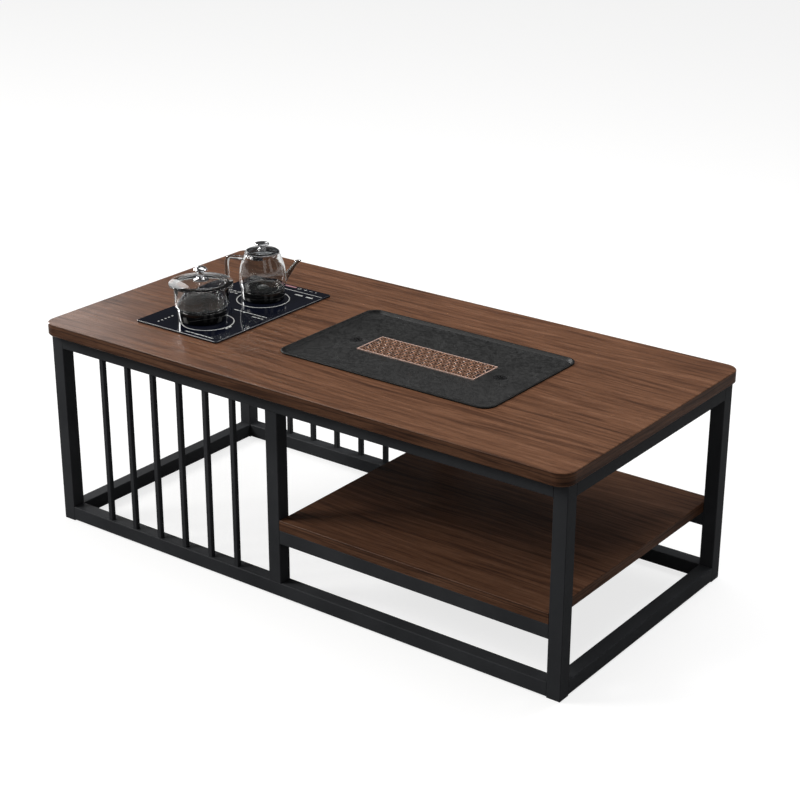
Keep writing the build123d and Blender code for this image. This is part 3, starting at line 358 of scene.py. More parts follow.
@dataclass(frozen=True)
class Walnut(Finish):
    """Oiled-looking walnut face with long grain; its edge band runs round the corners. Its side
    faces are darkened as painted shade, and a copy can be darkened all over as painted shade.
    """

    # painted shade: share by which the whole board is darkened
    painted_shade: float = 1.0
    top_z: float = 0.425
    seam_drop: float = 0.0019
    line_drop: float = 0.0088
    seam_half: float = 0.0003
    line_half: float = 0.0006
    line_soft: float = 0.0007
    line_share: float = 0.7
    lines_share: float = 0.8
    gloss: float = 0.25
    gloss_range: float = 0.08
    # painted shade: share by which the side faces are darkened against the top
    painted_edge_shade: float = 0.71
    sway: float = 0.060
    edge_face: float = 0.61
    broad: Figure = Figure((0.9, 15.0), (0.0, 0.0), 3.0, 0.55, (0.30, 0.70), 0.24)
    streak: Figure = Figure((4.2, 92.0), (3.1, 0.7), 4.0, 0.60, (0.38, 0.62), 0.36)
    fleck: Figure = Figure((9.0, 220.0), (1.7, 4.2), 3.0, 0.6, (0.36, 0.62), 0.24)
    fibre: Figure = Figure((22.0, 620.0), (0.0, 1.9), 2.0, 0.6, (0.32, 0.68), 0.16)
    lens: Figure = Figure((4.6, 52.0), (8.3, 2.6), 2.0, 0.5, (0.60, 0.70), -0.20)
    pore: Figure = Figure((55.0, 1500.0), (5.0, 0.0), 1.0, 0.5, (0.58, 0.68), 0.55)
    pore_depth: float = 0.9
    pore_colour: Colour = (0.030, 0.013, 0.008)
    seam_colour: Colour = (0.018, 0.009, 0.006)
    tones: tuple[tuple[float, Colour], ...] = (
        (0.12, (0.050, 0.0210, 0.0118)),
        (0.32, (0.092, 0.0400, 0.0212)),
        (0.50, (0.138, 0.0620, 0.0328)),
        (0.68, (0.178, 0.0830, 0.0455)),
        (0.90, (0.228, 0.1150, 0.0680)),
    )

    def grain_space(self, graph: Graph) -> tuple[Socket, Socket, Socket]:
        """Coordinates that run along the grain on the faces and along the band on the edges.

        Args:
            graph: where the nodes go.

        Returns:
            The straight (along, across, face) vector, the swaying one, and 1 on the edges and 0
            on the faces.
        """
        x, y, z = graph.parts(graph.position())
        edge = graph.maths("LESS_THAN", graph.maths("ABSOLUTE", graph.upward()), 0.5)
        along = graph.maths("ADD", x, graph.times(y, edge))
        across, face = graph.either(edge, y, z), graph.times(edge, self.edge_face)
        straight = graph.vector(along, across, face)
        drift = graph.noise(straight, (1.6, 6.0, 1.0), 2.0)
        sway = graph.times(graph.maths("SUBTRACT", drift, 0.5), self.sway)
        return straight, graph.vector(along, graph.maths("ADD", across, sway), face), edge

    def edge_lines(self, graph: Graph, edge: Socket) -> Socket:
        """Seam and groove that run round the edge band.

        Args:
            graph: where the nodes go.
            edge: 1 on the edges and 0 on the faces.

        Returns:
            How much of them shows.
        """
        z = graph.parts(graph.position())[2]
        seam = graph.band(z, self.top_z - self.seam_drop, self.seam_half, self.seam_half)
        line = graph.band(z, self.top_z - self.line_drop, self.line_half, self.line_soft)
        both = graph.maths("MAXIMUM", seam, graph.times(line, self.line_share))
        return graph.times(graph.times(both, edge), self.lines_share)

    def paint(self, graph: Graph) -> None:
        """Build the shader into graph."""
        straight, flow, edge = self.grain_space(graph)
        layers = (self.broad, self.streak, self.fleck, self.fibre, self.lens)
        raw = {layer: layer.read(graph, flow) for layer in layers}
        tone = graph.total(*(
            (graph.levels(value, *layer.levels), layer.share) for layer, value in raw.items()
        ))
        pore = graph.levels(self.pore.read(graph, straight), *self.pore.levels)
        dark = graph.times(pore, self.pore.share)
        colour = graph.blend(dark, graph.ramp(tone, self.tones), self.pore_colour)
        colour = graph.blend(self.edge_lines(graph, edge), colour, self.seam_colour)
        height = graph.maths("SUBTRACT", raw[self.fibre], graph.times(pore, self.pore_depth))
        graph.coat({
            # painted shade: the side faces are darker than the top, and the whole board is darker
            # by its own share
            "Base Color": graph.shaded(colour, edge, (self.painted_shade, self.painted_edge_shade * self.painted_shade)),
            "Roughness": graph.levels(tone, 0.2, 0.9, self.gloss + self.gloss_range, self.gloss),
            "Specular IOR Level": 0.10,
            "Normal": graph.bump(height, 0.00010, 0.35),
        })


@dataclass(frozen=True)
class PanelGlass(Finish):
    """Polished black glass: near mirror, with a trace of wiping marks and a lighter bevelled edge
    as painted highlight.
    """

    body: Colour = (0.0035, 0.0045, 0.010)
    edge: Colour = (0.045, 0.050, 0.058)
    fleck: Colour = (0.05, 0.05, 0.06)
    edge_slope: float = 0.707

    def paint(self, graph: Graph) -> None:
        """Build the shader into graph."""
        place = graph.position()
        # painted highlight: the bevel faces at 45 degrees are lighter than the body
        painted_bevel_highlight = graph.band(graph.upward(), self.edge_slope, 0.05, 0.05)
        fleck = graph.levels(graph.noise(place, 3800.0, 0.0), 0.74, 0.80)
        colour = graph.blend(graph.times(fleck, 0.30), self.body, self.fleck)
        wipe = graph.noise(place, (14.0, 60.0, 1.0), 4.0, 0.6)
        graph.coat({
            "Base Color": graph.blend(painted_bevel_highlight, colour, self.edge),
            "Roughness": graph.levels(wipe, 0.35, 0.70, 0.015, 0.075),
            "Specular IOR Level": 0.22,
        })


@dataclass(frozen=True)
class Enamel(Finish):
    """Fired white or coloured enamel print: matt, faintly uneven in cover."""

    colour: Colour = (0.62, 0.62, 0.60)

    def paint(self, graph: Graph) -> None:
        """Build the shader into graph."""
        cover = graph.levels(graph.noise(graph.position(), 900.0, 2.0), 0.30, 0.62)
        graph.coat({
            "Base Color": graph.blend(cover, scaled(self.colour, 0.55), self.colour),
            "Roughness": 0.45,
            "Specular IOR Level": 0.30,
            "Normal": graph.bump(cover, 0.00001, 0.5),
        })


@dataclass(frozen=True)
class BlownGlass(Finish):
    """Clear heat-proof glass with the faint ripple of blown ware; lamps shine through it."""

    tint: Colour = (0.965, 0.975, 0.970)
    index: float = 1.46
    ripple: float = 0.00025

    def body_tint(self, graph: Graph) -> Input:
        """Tint of the whole piece."""
        return self.tint

    def paint(self, graph: Graph) -> None:
        """Build the shader into graph."""
        place = graph.position()
        film = graph.noise(place, 160.0, 3.0)
        glass = graph.add("BsdfPrincipled", {
            "Base Color": self.body_tint(graph),
            "Roughness": graph.levels(film, 0.52, 0.75, 0.0, 0.035),
            "IOR": self.index,
            "Transmission Weight": 1.0,
            "Normal": graph.bump(graph.noise(place, 38.0, 1.0), self.ripple, 0.5),
        })
        clear = graph.add("BsdfTransparent", {"Color": self.tint})
        sides = {0: graph.ray("Shadow", "Diffuse"), 1: glass.outputs[0], 2: clear.outputs[0]}
        graph.show(graph.add("MixShader", sides))


@dataclass(frozen=True)
class RoddedGlass(BlownGlass):
    """Blown glass with solid rods on its outside, tinted darker than its walls as painted shade for
    how dark the rods look.
    """

    axis: Point = (-0.3384, 0.0538)
    painted_rod_shade_tint: Colour = (0.42, 0.42, 0.41)
    rod_start: float = 0.0485
    rod_fade: float = 0.0030

    def body_tint(self, graph: Graph) -> Input:
        """Tint that deepens past the walls' distance from the vessel's axis: painted shade on the
        rods.
        """
        # painted shade: past the walls, the handle and the spout's outer part take a much darker
        # tint
        painted_rod_shade_mask = graph.levels(graph.reach(self.axis), self.rod_start, self.rod_start + self.rod_fade)
        return graph.blend(painted_rod_shade_mask, self.tint, self.painted_rod_shade_tint)


@dataclass(frozen=True)
class BrightSteel(Finish):
    """Polished or brushed stainless steel with hairline marks round the piece."""

    colour: Colour = (0.62, 0.62, 0.63)
    smooth: float = 0.07
    rough: float = 0.17

    def paint(self, graph: Graph) -> None:
        """Build the shader into graph."""
        place = graph.position()
        hair = graph.noise(place, (70.0, 70.0, 2600.0), 2.0)
        smear = graph.noise(place, 90.0, 3.0)
        tarnish = graph.levels(smear, 0.4, 0.7)
        graph.coat({
            "Base Color": graph.blend(tarnish, self.colour, scaled(self.colour, 0.82)),
            "Metallic": 1.0,
            "Roughness": graph.levels(smear, 0.35, 0.70, self.smooth, self.rough),
            "Normal": graph.bump(hair, 0.000012, 0.25),
        })


@dataclass(frozen=True)
class Moulding(Finish):
    """Moulded plastic or rubber, from high gloss to a fine spark-eroded grain."""

    colour: Colour = (0.02, 0.02, 0.02)
    roughness: float = 0.4
    grain: float = 0.00003
    specular: float = 0.4

    def paint(self, graph: Graph) -> None:
        """Build the shader into graph."""
        place = graph.position()
        flow = graph.levels(graph.noise(place, 22.0, 3.0), 0.35, 0.65)
        dull, bright = 0.92 * self.roughness, 1.1 * self.roughness
        graph.coat({
            "Base Color": graph.blend(flow, self.colour, scaled(self.colour, 1.18, 0.001)),
            "Roughness": graph.levels(flow, 0.0, 1.0, dull, bright),
            "Specular IOR Level": self.specular,
            "Normal": graph.bump(graph.noise(place, 1600.0, 2.0), self.grain, 0.5),
        })


@dataclass(frozen=True)
class ZincSheet(Finish):
    """Zinc-plated sheet steel with a crystal spangle."""

    colour: Colour = (0.42, 0.43, 0.44)

    def paint(self, graph: Graph) -> None:
        """Build the shader into graph."""
        place = graph.position()
        crystal = graph.add("TexVoronoi", {"Vector": place, "Scale": 150.0})
        sparkle = graph.parts(crystal.outputs["Color"])[0]
        graph.coat({
            "Base Color": graph.blend(sparkle, scaled(self.colour, 0.72), self.colour),
            "Metallic": 1.0,
            "Roughness": graph.levels(sparkle, 0.0, 1.0, 0.30, 0.48),
            "Normal": graph.bump(graph.noise(place, 420.0, 2.0), 0.00002, 0.4),
        })


@dataclass(frozen=True)
class CircuitLaminate(Finish):
    """Green circuit board with copper tracks under lacquer and a pale heat sink above."""

    lacquer: Colour = (0.010, 0.075, 0.030)
    track: Colour = (0.030, 0.150, 0.055)
    sink: Colour = (0.35, 0.36, 0.37)
    board_z: float = 0.3725

    def paint(self, graph: Graph) -> None:
        """Build the shader into graph."""
        place = graph.position()
        tracks = graph.add("TexBrick", {
            "Vector": place, "Scale": 95.0, "Mortar Size": 0.09,
            "Color1": self.lacquer, "Color2": self.lacquer, "Mortar": self.track,
        })
        metal = graph.maths("GREATER_THAN", graph.parts(place)[2], self.board_z)
        graph.coat({
            "Base Color": graph.blend(metal, tracks.outputs["Color"], self.sink),
            "Metallic": metal,
            "Roughness": graph.levels(graph.noise(place, 300.0), 0.3, 0.7, 0.28, 0.45),
        })


@dataclass(frozen=True)
class CopperWinding(Finish):
    """Enamelled copper strand laid in rings round a zone's middle, darker between the turns as
    painted shade and lighter on their crowns as painted highlight.
    """

    middle: Triple = (0.0, 0.0, 0.0)
    strand: float = 0.0016
    painted_gap_shade: Colour = (0.09, 0.028, 0.010)
    crown: Colour = (0.58, 0.24, 0.10)

    def paint(self, graph: Graph) -> None:
        """Build the shader into graph."""
        turns = graph.maths("DIVIDE", graph.reach(self.middle), self.strand)
        # painted shade between the turns and painted highlight on their crowns
        wire = graph.levels(graph.maths("PINGPONG", turns, 0.5), 0.0, 0.5)
        graph.coat({
            "Base Color": graph.blend(wire, self.painted_gap_shade, self.crown),
            "Metallic": 1.0,
            "Roughness": graph.levels(wire, 0.0, 1.0, 0.55, 0.28),
            "Normal": graph.bump(wire, 0.5 * self.strand, 0.9),
        })


@dataclass(frozen=True)
class TrayStone(Finish):
    """Pressed black stone-look tray: mottled, matt, with a fine leathery grain; from its floor up
    to its rim it is darkened as painted shade.
    """

    low: Colour = (0.0070, 0.0071, 0.0072)
    high: Colour = (0.0260, 0.0262, 0.0260)
    spark: Colour = (0.10, 0.10, 0.10)
    floor_z: float = 0.4236
    rim_z: float = 0.4262
    painted_rim_shade: float = 0.38

    def paint(self, graph: Graph) -> None:
        """Build the shader into graph."""
        place = graph.position()
        cloud = graph.levels(graph.noise(place, 17.0, 5.0, 0.6), 0.32, 0.68)
        mottle = graph.levels(graph.noise(place, 150.0, 4.0, 0.65), 0.40, 0.62)
        spark = graph.levels(graph.noise(place, 1100.0, 1.0), 0.68, 0.78)
        tone = graph.total((cloud, 0.30), (mottle, 0.70))
        colour = graph.blend(tone, self.low, self.high)
        colour = graph.blend(graph.times(spark, 0.45), colour, self.spark)
        # painted shade: darker from the basin's floor up to the rim, along the lip and its inner
        # walls
        rim = graph.levels(graph.parts(place)[2], self.floor_z, self.rim_z)
        pits = graph.add("TexVoronoi", {"Vector": place, "Scale": 620.0}).outputs["Distance"]
        height = graph.maths("ADD", graph.times(pits, 0.6), graph.noise(place, 340.0, 3.0))
        graph.coat({
            "Base Color": graph.shaded(colour, rim, (1.0, self.painted_rim_shade)),
            "Roughness": graph.levels(mottle, 0.0, 1.0, 0.42, 0.62),
            "Specular IOR Level": 0.14,
            "Normal": graph.bump(height, 0.00012, 0.55),
        })


@dataclass(frozen=True)
class CarvedResin(Finish):
    """Reddish brown pressed panel with a random rub in its tone; a near-black copy for the sunk
    ground is painted shade and a light copy for what stands up is painted highlight.
    """

    low: Colour
    high: Colour

    def paint(self, graph: Graph) -> None:
        """Build the shader into graph."""
        place = graph.position()
        fibre = graph.noise(place, (60.0, 900.0, 60.0), 3.0)
        rub = graph.levels(graph.noise(place, 130.0, 3.0), 0.36, 0.64)
        tone = graph.total((fibre, 0.4), (rub, 0.6))
        graph.coat({
            "Base Color": graph.blend(tone, self.low, self.high),
            "Roughness": graph.levels(rub, 0.0, 1.0, 0.50, 0.38),
            "Specular IOR Level": 0.35,
            "Normal": graph.bump(fibre, 0.00006, 0.5),
        })


POWDER = PowderCoat("black_powder_coat", "frame_steel")
TOP_WALNUT = Walnut("top_walnut", "top_wood")
# The shelf is the top's walnut darkened all over and on its edges, as painted shade for the shade
# it lies in under the top.
SHELF_WALNUT = Walnut(
    "shelf_walnut", "shelf_wood", painted_shade=0.80, top_z=0.160, line_drop=0.0075, gloss=0.36,
    painted_edge_shade=0.84,
)
FOOT = Moulding("foot_plug_plastic", "foot_plastic", (0.018, 0.018, 0.019), 0.55, 0.00006)
HOB_PANEL = PanelGlass("hob_panel_glass", "hob_glass")
WHITE_PRINT = Enamel("white_enamel", "hob_glass")
ROSE_PRINT = Enamel("rose_enamel", "hob_glass", (0.42, 0.20, 0.22))
GASKET = Moulding("gasket_rubber_black", "gasket_rubber", (0.015, 0.015, 0.015), 0.7, 0.00008, 0.25)
HOUSING = ZincSheet("housing_zinc", "housing_metal")
FASTENER = ZincSheet("fastener_zinc", "zinc_metal", (0.50, 0.50, 0.49))
BOARD = CircuitLaminate("circuit_laminate", "circuit_board")
INNER = Moulding("inner_moulding", "inner_plastic", (0.05, 0.05, 0.052), 0.45, 0.00005)
STEEL = BrightSteel("polished_stainless", "polished_steel")
BASE_GLOSS = Moulding(
    "gloss_black_base", "base_plastic", (0.0045, 0.0045, 0.0045), 0.09, 0.000004, 0.45,
)
VALVE = Moulding("valve_rubber_grey", "valve_rubber", (0.05, 0.05, 0.05), 0.6, 0.00006, 0.3)
GLASS = BlownGlass("blown_clear_glass", "clear_glass")
KETTLE_GLASS = RoddedGlass("kettle_clear_glass", "clear_glass")
LID_GLASS = BlownGlass("lid_clear_glass", "clear_glass", (0.93, 0.945, 0.94), 1.47, 0.00012)
# painted shade: the kettle lid's pane is tinted dark to stand in for how dark it looks
LID_GLASS_PAINTED_SHADE = BlownGlass("lid_glass_painted_shade", "clear_glass", (0.24, 0.25, 0.26), 1.47, 0.00008)
STONE = TrayStone("tray_black_stone", "tray_black")
ROSE_METAL = BrightSteel("rose_border_metal", "border_metal", (0.86, 0.62, 0.53), 0.46, 0.60)
# painted shade on the panel's sunk ground and painted highlight on its raised lattice: two copies
# of one resin
PANEL_BROWN_PAINTED_SHADE = CarvedResin(
    "panel_brown_painted_shade", "grille_brown", (0.010, 0.004, 0.003), (0.030, 0.013, 0.008),
)
RIDGE_BROWN_PAINTED_HIGHLIGHT = CarvedResin(
    "ridge_brown_painted_highlight", "grille_brown", (0.240, 0.102, 0.055), (0.520, 0.270, 0.155),
)
STRAINER = BrightSteel(
    "strainer_dark_steel", "strainer_metal", (0.035, 0.035, 0.036), 0.32, 0.48,
)


# ------------------------------------------------------------------------------ mesh building
def through(start: Point, middle: Point, end: Point, steps: int) -> list[Point]:
    """Points of the arc that runs from start through middle to end.

    Args:
        start: where the arc starts; not among the points.
        middle: a point on the way.
        end: where it ends; the last of the points.
        steps: how many points.

    Returns:
        The points after start.
    """
    first, second, last = (complex(*point) for point in (start, middle, end))
    near, far = second - first, last - first
    twist = near.conjugate() * far - near * far.conjugate()
    centre = first + near * far * (near - far).conjugate() / twist
    spokes = [point - centre for point in (first, second, last)]
    whole = cmath.phase(spokes[1] / spokes[0]) + cmath.phase(spokes[2] / spokes[1])
    points = [centre + spokes[0] * cmath.rect(1.0, whole * i / steps) for i in range(1, steps + 1)]
    return [(point.real, point.imag) for point in points]


def dome(rim_radius: float, rim_z: float, rise: float, steps: int = 10) -> list[Point]:
    """Points of a dome's section from its rim to its crown on the axis.

    Args:
        rim_radius: of its rim.
        rim_z: height of its rim.
        rise: of its crown over the rim; below nothing, it is a dish.
        steps: how many facets.

    Returns:
        The points.
    """
    sphere = (rim_radius**2 + rise**2) / (2.0 * rise)
    centre_z = rim_z + rise - sphere
    reach = math.asin(min(1.0, rim_radius / abs(sphere)))
    angles = [reach * (1.0 - i / steps) for i in range(steps + 1)]
    return [(abs(sphere) * math.sin(a), centre_z + sphere * math.cos(a)) for a in angles]


class Form:
    """A mesh in the making, shaped by bmesh operators in metres."""

    def __init__(self) -> None:
        """Start with nothing."""
        self.mesh = bmesh.new()

    def turn(self, outline: Sequence[Point], steps: int) -> "Form":
        """Spin a closed outline of (radius, height) a full turn about the Z axis.

        Args:
            outline: the section's points in order; the last joins the first.
            steps: facets round the axis.

        Returns:
            This form.
        """
        points = [self.mesh.verts.new((radius, 0.0, height)) for radius, height in outline]
        edges = [
            self.mesh.edges.new(pair) for pair in zip(points, [*points[1:], points[0]])
            if max(pair[0].co.x, pair[1].co.x) > MERGE_DISTANCE
        ]
        bmesh.ops.spin(
            self.mesh, geom=points + edges, cent=(0, 0, 0), axis=(0, 0, 1), angle=FULL_TURN,
            steps=steps, use_merge=True,
        )
        return self.tidy()

    def tidy(self) -> "Form":
        """Merge what coincides and turn the faces outwards.

        Returns:
            This form.
        """
        bmesh.ops.remove_doubles(self.mesh, verts=self.mesh.verts, dist=MERGE_DISTANCE)
        bmesh.ops.recalc_face_normals(self.mesh, faces=self.mesh.faces)
        return self

    def slab(self, size: Sequence[float], centre: Sequence[float]) -> "Form":
        """Add a box.

        Args:
            size: its length, width and height.
            centre: its middle.

        Returns:
            This form.
        """
        matrix = Matrix.Translation(centre) @ Matrix.Diagonal((*size, 1.0))
        bmesh.ops.create_cube(self.mesh, size=1.0, matrix=matrix)
        return self

    def disc(
        self, radius: float, height: float, foot: Sequence[float], steps: int = 32,
    ) -> "Form":
        """Add an upright disc.

        Args:
            radius: of the disc.
            height: its thickness.
            foot: middle of its underside.
            steps: facets round it.

        Returns:
            This form.
        """
        lift = Matrix.Translation(Vector(foot) + Vector((0, 0, height / 2)))
        bmesh.ops.create_cone(
            self.mesh, cap_ends=True, segments=steps, radius1=radius, radius2=radius,
            depth=height, matrix=lift,
        )
        return self

    def rounded_plate(
        self, size: Point, radius: float, low: float, height: float, steps: int = 8,
    ) -> "Form":
        """Add a plate with rounded corners about the Z axis.

        Args:
            size: length along X and width along Y.
            radius: of the corners.
            low: height of its underside.
            height: its thickness.
            steps: facets in each corner.

        Returns:
            This form.
        """
        made = bmesh.ops.create_grid(
            self.mesh, x_segments=1, y_segments=1, size=0.5,
            matrix=Matrix.Translation((0, 0, low)) @ Matrix.Diagonal((*size, 1.0, 1.0)),
        )["verts"]
        made = bmesh.ops.bevel(
            self.mesh, geom=made, offset=radius, segments=steps, profile=0.5, affect="VERTICES",
            material=-1,
        )
        face = made["verts"][0].link_faces[0]
        grown = bmesh.ops.extrude_face_region(self.mesh, geom=[face])["geom"]
        raised = [item for item in grown if isinstance(item, bmesh.types.BMVert)]
        bmesh.ops.translate(self.mesh, verts=raised, vec=(0, 0, height))
        return self.tidy()

    def bevel(
        self, width: float, segments: int, sharper: float, above: float = -math.inf,
    ) -> "Form":
        """Round the sharp edges.

        Args:
            width: of the bevel.
            segments: facets across it.
            sharper: angle in degrees past which an edge is sharp.
            above: height over which both ends of the edge lie.

        Returns:
            This form.
        """
        limit = math.radians(sharper)
        sharp = [
            edge for edge in self.mesh.edges
            if edge.is_manifold and edge.calc_face_angle(0.0) > limit
            and all(vert.co.z > above for vert in edge.verts)
        ]
        bmesh.ops.bevel(
            self.mesh, geom=sharp, offset=width, segments=segments, profile=0.5, affect="EDGES",
            material=-1, clamp_overlap=True,
        )
        return self

    def move(self, matrix: Matrix) -> "Form":
        """Carry the whole form by a matrix."""
        bmesh.ops.transform(self.mesh, matrix=matrix, verts=self.mesh.verts)
        return self

    def stamp(self, other: "Form", matrix: Matrix) -> None:
        """Add a copy of another form.

        Args:
            other: what is copied.
            matrix: what carries the copy to its place.
        """
        source = bpy.data.meshes.new("stamp")
        other.mesh.to_mesh(source)
        source.transform(matrix)
        self.mesh.from_mesh(source)
        bpy.data.meshes.remove(source)

    def take_in(self, thing: bpy.types.Object) -> "Form":
        """Add the mesh of an object, as its modifiers or its bevel leave it.

        Args:
            thing: the object.

        Returns:
            This form.
        """
        bpy.context.view_layer.update()
        graph = bpy.context.evaluated_depsgraph_get()
        data = bpy.data.meshes.new_from_object(thing.evaluated_get(graph))
        self.mesh.from_mesh(data)
        bpy.data.meshes.remove(data)
        return self

    def copy_node(self, node: str) -> "Form":
        """Add a merged copy of a solid, with its flat faces made whole.

        Args:
            node: the solid's name.

        Returns:
            This form.
        """
        self.mesh.from_mesh(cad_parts[node].data)
        bmesh.ops.remove_doubles(self.mesh, verts=self.mesh.verts, dist=MERGE_DISTANCE)
        bmesh.ops.dissolve_limit(
            self.mesh, angle_limit=math.radians(0.5), verts=self.mesh.verts, edges=self.mesh.edges,
        )
        return self

    def object(self, name: str, smooth_below: float = 35.0) -> bpy.types.Object:
        """Turn the form into an object at the origin.

        Args:
            name: what the object is called.
            smooth_below: edges under this angle in degrees are shaded smooth.

        Returns:
            The new object.
        """
        limit = math.radians(smooth_below)
        for face in self.mesh.faces:
            face.smooth = True
        for edge in self.mesh.edges:
            edge.smooth = edge.is_manifold and edge.calc_face_angle(0.0) < limit
        data = bpy.data.meshes.new(name)
        self.mesh.to_mesh(data)
        self.mesh.free()
        made = bpy.data.objects.new(name, data)
        bpy.context.scene.collection.objects.link(made)
        return made


def work_in(base: Form, steps: Sequence[tuple[Cut, Form]]) -> Form:
    """Join solids to a base or take them away from it, one after the other.

    Args:
        base: the first solid; it is used up.
        steps: how each next solid is worked in; they are used up.

    Returns:
        The result.
    """
    body = base.object("work_base")
    tools = []
    for number, (cut, form) in enumerate(steps):
        tool = form.object(f"work_tool_{number}")
        tools.append(tool)
        modifier = body.modifiers.new(f"step_{number}", "BOOLEAN")
        modifier.operation = cut.value
        modifier.solver = "EXACT"
        modifier.object = tool
    result = Form().take_in(body)
    for used in [body, *tools]:
        bpy.data.meshes.remove(used.data)
    bmesh.ops.remove_doubles(result.mesh, verts=result.mesh.verts, dist=MERGE_DISTANCE)
    bmesh.ops.dissolve_degenerate(result.mesh, edges=result.mesh.edges, dist=MERGE_DISTANCE)
    return result


def publish(piece: bpy.types.Object, finish: Finish, body: Body, *stands_for: str) -> None:
    """Finish a new piece, let it ride on its body and report it.

    Args:
        piece: the object.
        finish: what it is made of.
        body: what it moves with.
        stands_for: solids that it takes the place of.
    """
    piece.data.materials.clear()
    piece.data.materials.append(finish.material())
    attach(piece, body.value)
    if stands_for:
        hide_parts(*stands_for)
    LOG.info("piece %s: %d faces on %s", piece.name, len(piece.data.polygons), body.value)


def dress(finish: Finish, *nodes: str) -> None:
    """Give solids that stay as they are their finish.

    Args:
        finish: what they are made of.
        nodes: the solids' names.
    """
    for node in nodes:
        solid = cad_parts[node]
        for slot in solid.material_slots:
            slot.material = finish.material()
        LOG.info("solid %s: %s", node, finish.name)


def middle_of(node: str) -> Vector:
    """Middle of a solid's box."""
    low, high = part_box(node)
    return (low + high) / 2


# ------------------------------------------------------------------------------ the sub-assemblies
@dataclass
class TubeFrame:
    """Square-tube frame, its bars, foot plugs and the tabs with their screws."""

    screw_radius: float = 0.0038
    screw_height: float = 0.0021
    screw_side: float = 0.35
    screw_bulge: Point = (0.72, 0.88)
    socket_length: float = 0.0044
    socket_width: float = 0.0009
    socket_depth: float = 0.0011
    screw_inset: float = 0.009

    def dress(self) -> None:
        """Give the tubes, bars, tabs and plugs their finish."""
        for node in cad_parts:
            if node.endswith(("_post", "_rail", "_bars", "_tabs")):
                dress(POWDER, node)
        dress(FOOT, "foot_plugs")

    def screw(self) -> Form:
        """Pan-head screw with a cross recess, head downwards from z = 0.

        Returns:
            The screw.
        """
        radius, crown = self.screw_radius, -self.screw_height
        side = (radius, self.screw_side * crown)
        bulge = (self.screw_bulge[0] * radius, self.screw_bulge[1] * crown)
        head = [(0.0, 0.0), (radius, 0.0), side, *through(side, bulge, (0.0, crown), 6)]
        reach = 2.0 * self.socket_depth
        long, short = self.socket_length, self.socket_width
        bars = [Form().slab((*bar, reach), (0, 0, crown)) for bar in ((long, short), (short, long))]
        return work_in(Form().turn(head, 24), [(Cut.TAKE_AWAY, bar) for bar in bars])

    def tab_screws(self, node: str, name: str) -> None:
        """Two screws under each tab of a node.

        Args:
            node: the solid that holds the tabs.
            name: what the piece is called.
        """
        tabs, screws, head = Form().copy_node(node), Form(), self.screw()
        low_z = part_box(node)[0].z
        for face in tabs.mesh.faces:
            middle = face.calc_center_bounds()
            if abs(middle.z - low_z) > NEAR:
                continue
            places = [[vert.co[way] for vert in face.verts] for way in (0, 1)]
            spans = [max(along) - min(along) for along in places]
            long_way = spans.index(max(spans))
            for side in (-1, 1):
                place = middle.copy()
                place[long_way] += side * (spans[long_way] / 2 - self.screw_inset)
                screws.stamp(head, Matrix.Translation(place))
        head.mesh.free()
        tabs.mesh.free()
        publish(screws.object(name), FASTENER, Body.TABLE)

    def build(self) -> None:
        """Make the sub-assembly."""
        self.dress()
        self.tab_screws("top_tabs", "top_tab_screws")
        self.tab_screws("shelf_tabs", "shelf_tab_screws")


@dataclass
class Boards:
    """The wooden top and the shelf."""

    def build(self) -> None:
        """Give both boards their finish."""
        dress(TOP_WALNUT, "tabletop")
        dress(SHELF_WALNUT, "shelf_board")


class MarkKind(Enum):
    """Plain signs printed on the hob."""

    RING = "ring"
    DOT = "dot"
    DASH = "dash"


@dataclass(frozen=True)
class Mark:
    """One printed sign: its middle, its length along X and its width along Y or of its line."""

    kind: MarkKind
    x: float
    y: float
    length: float
    width: float


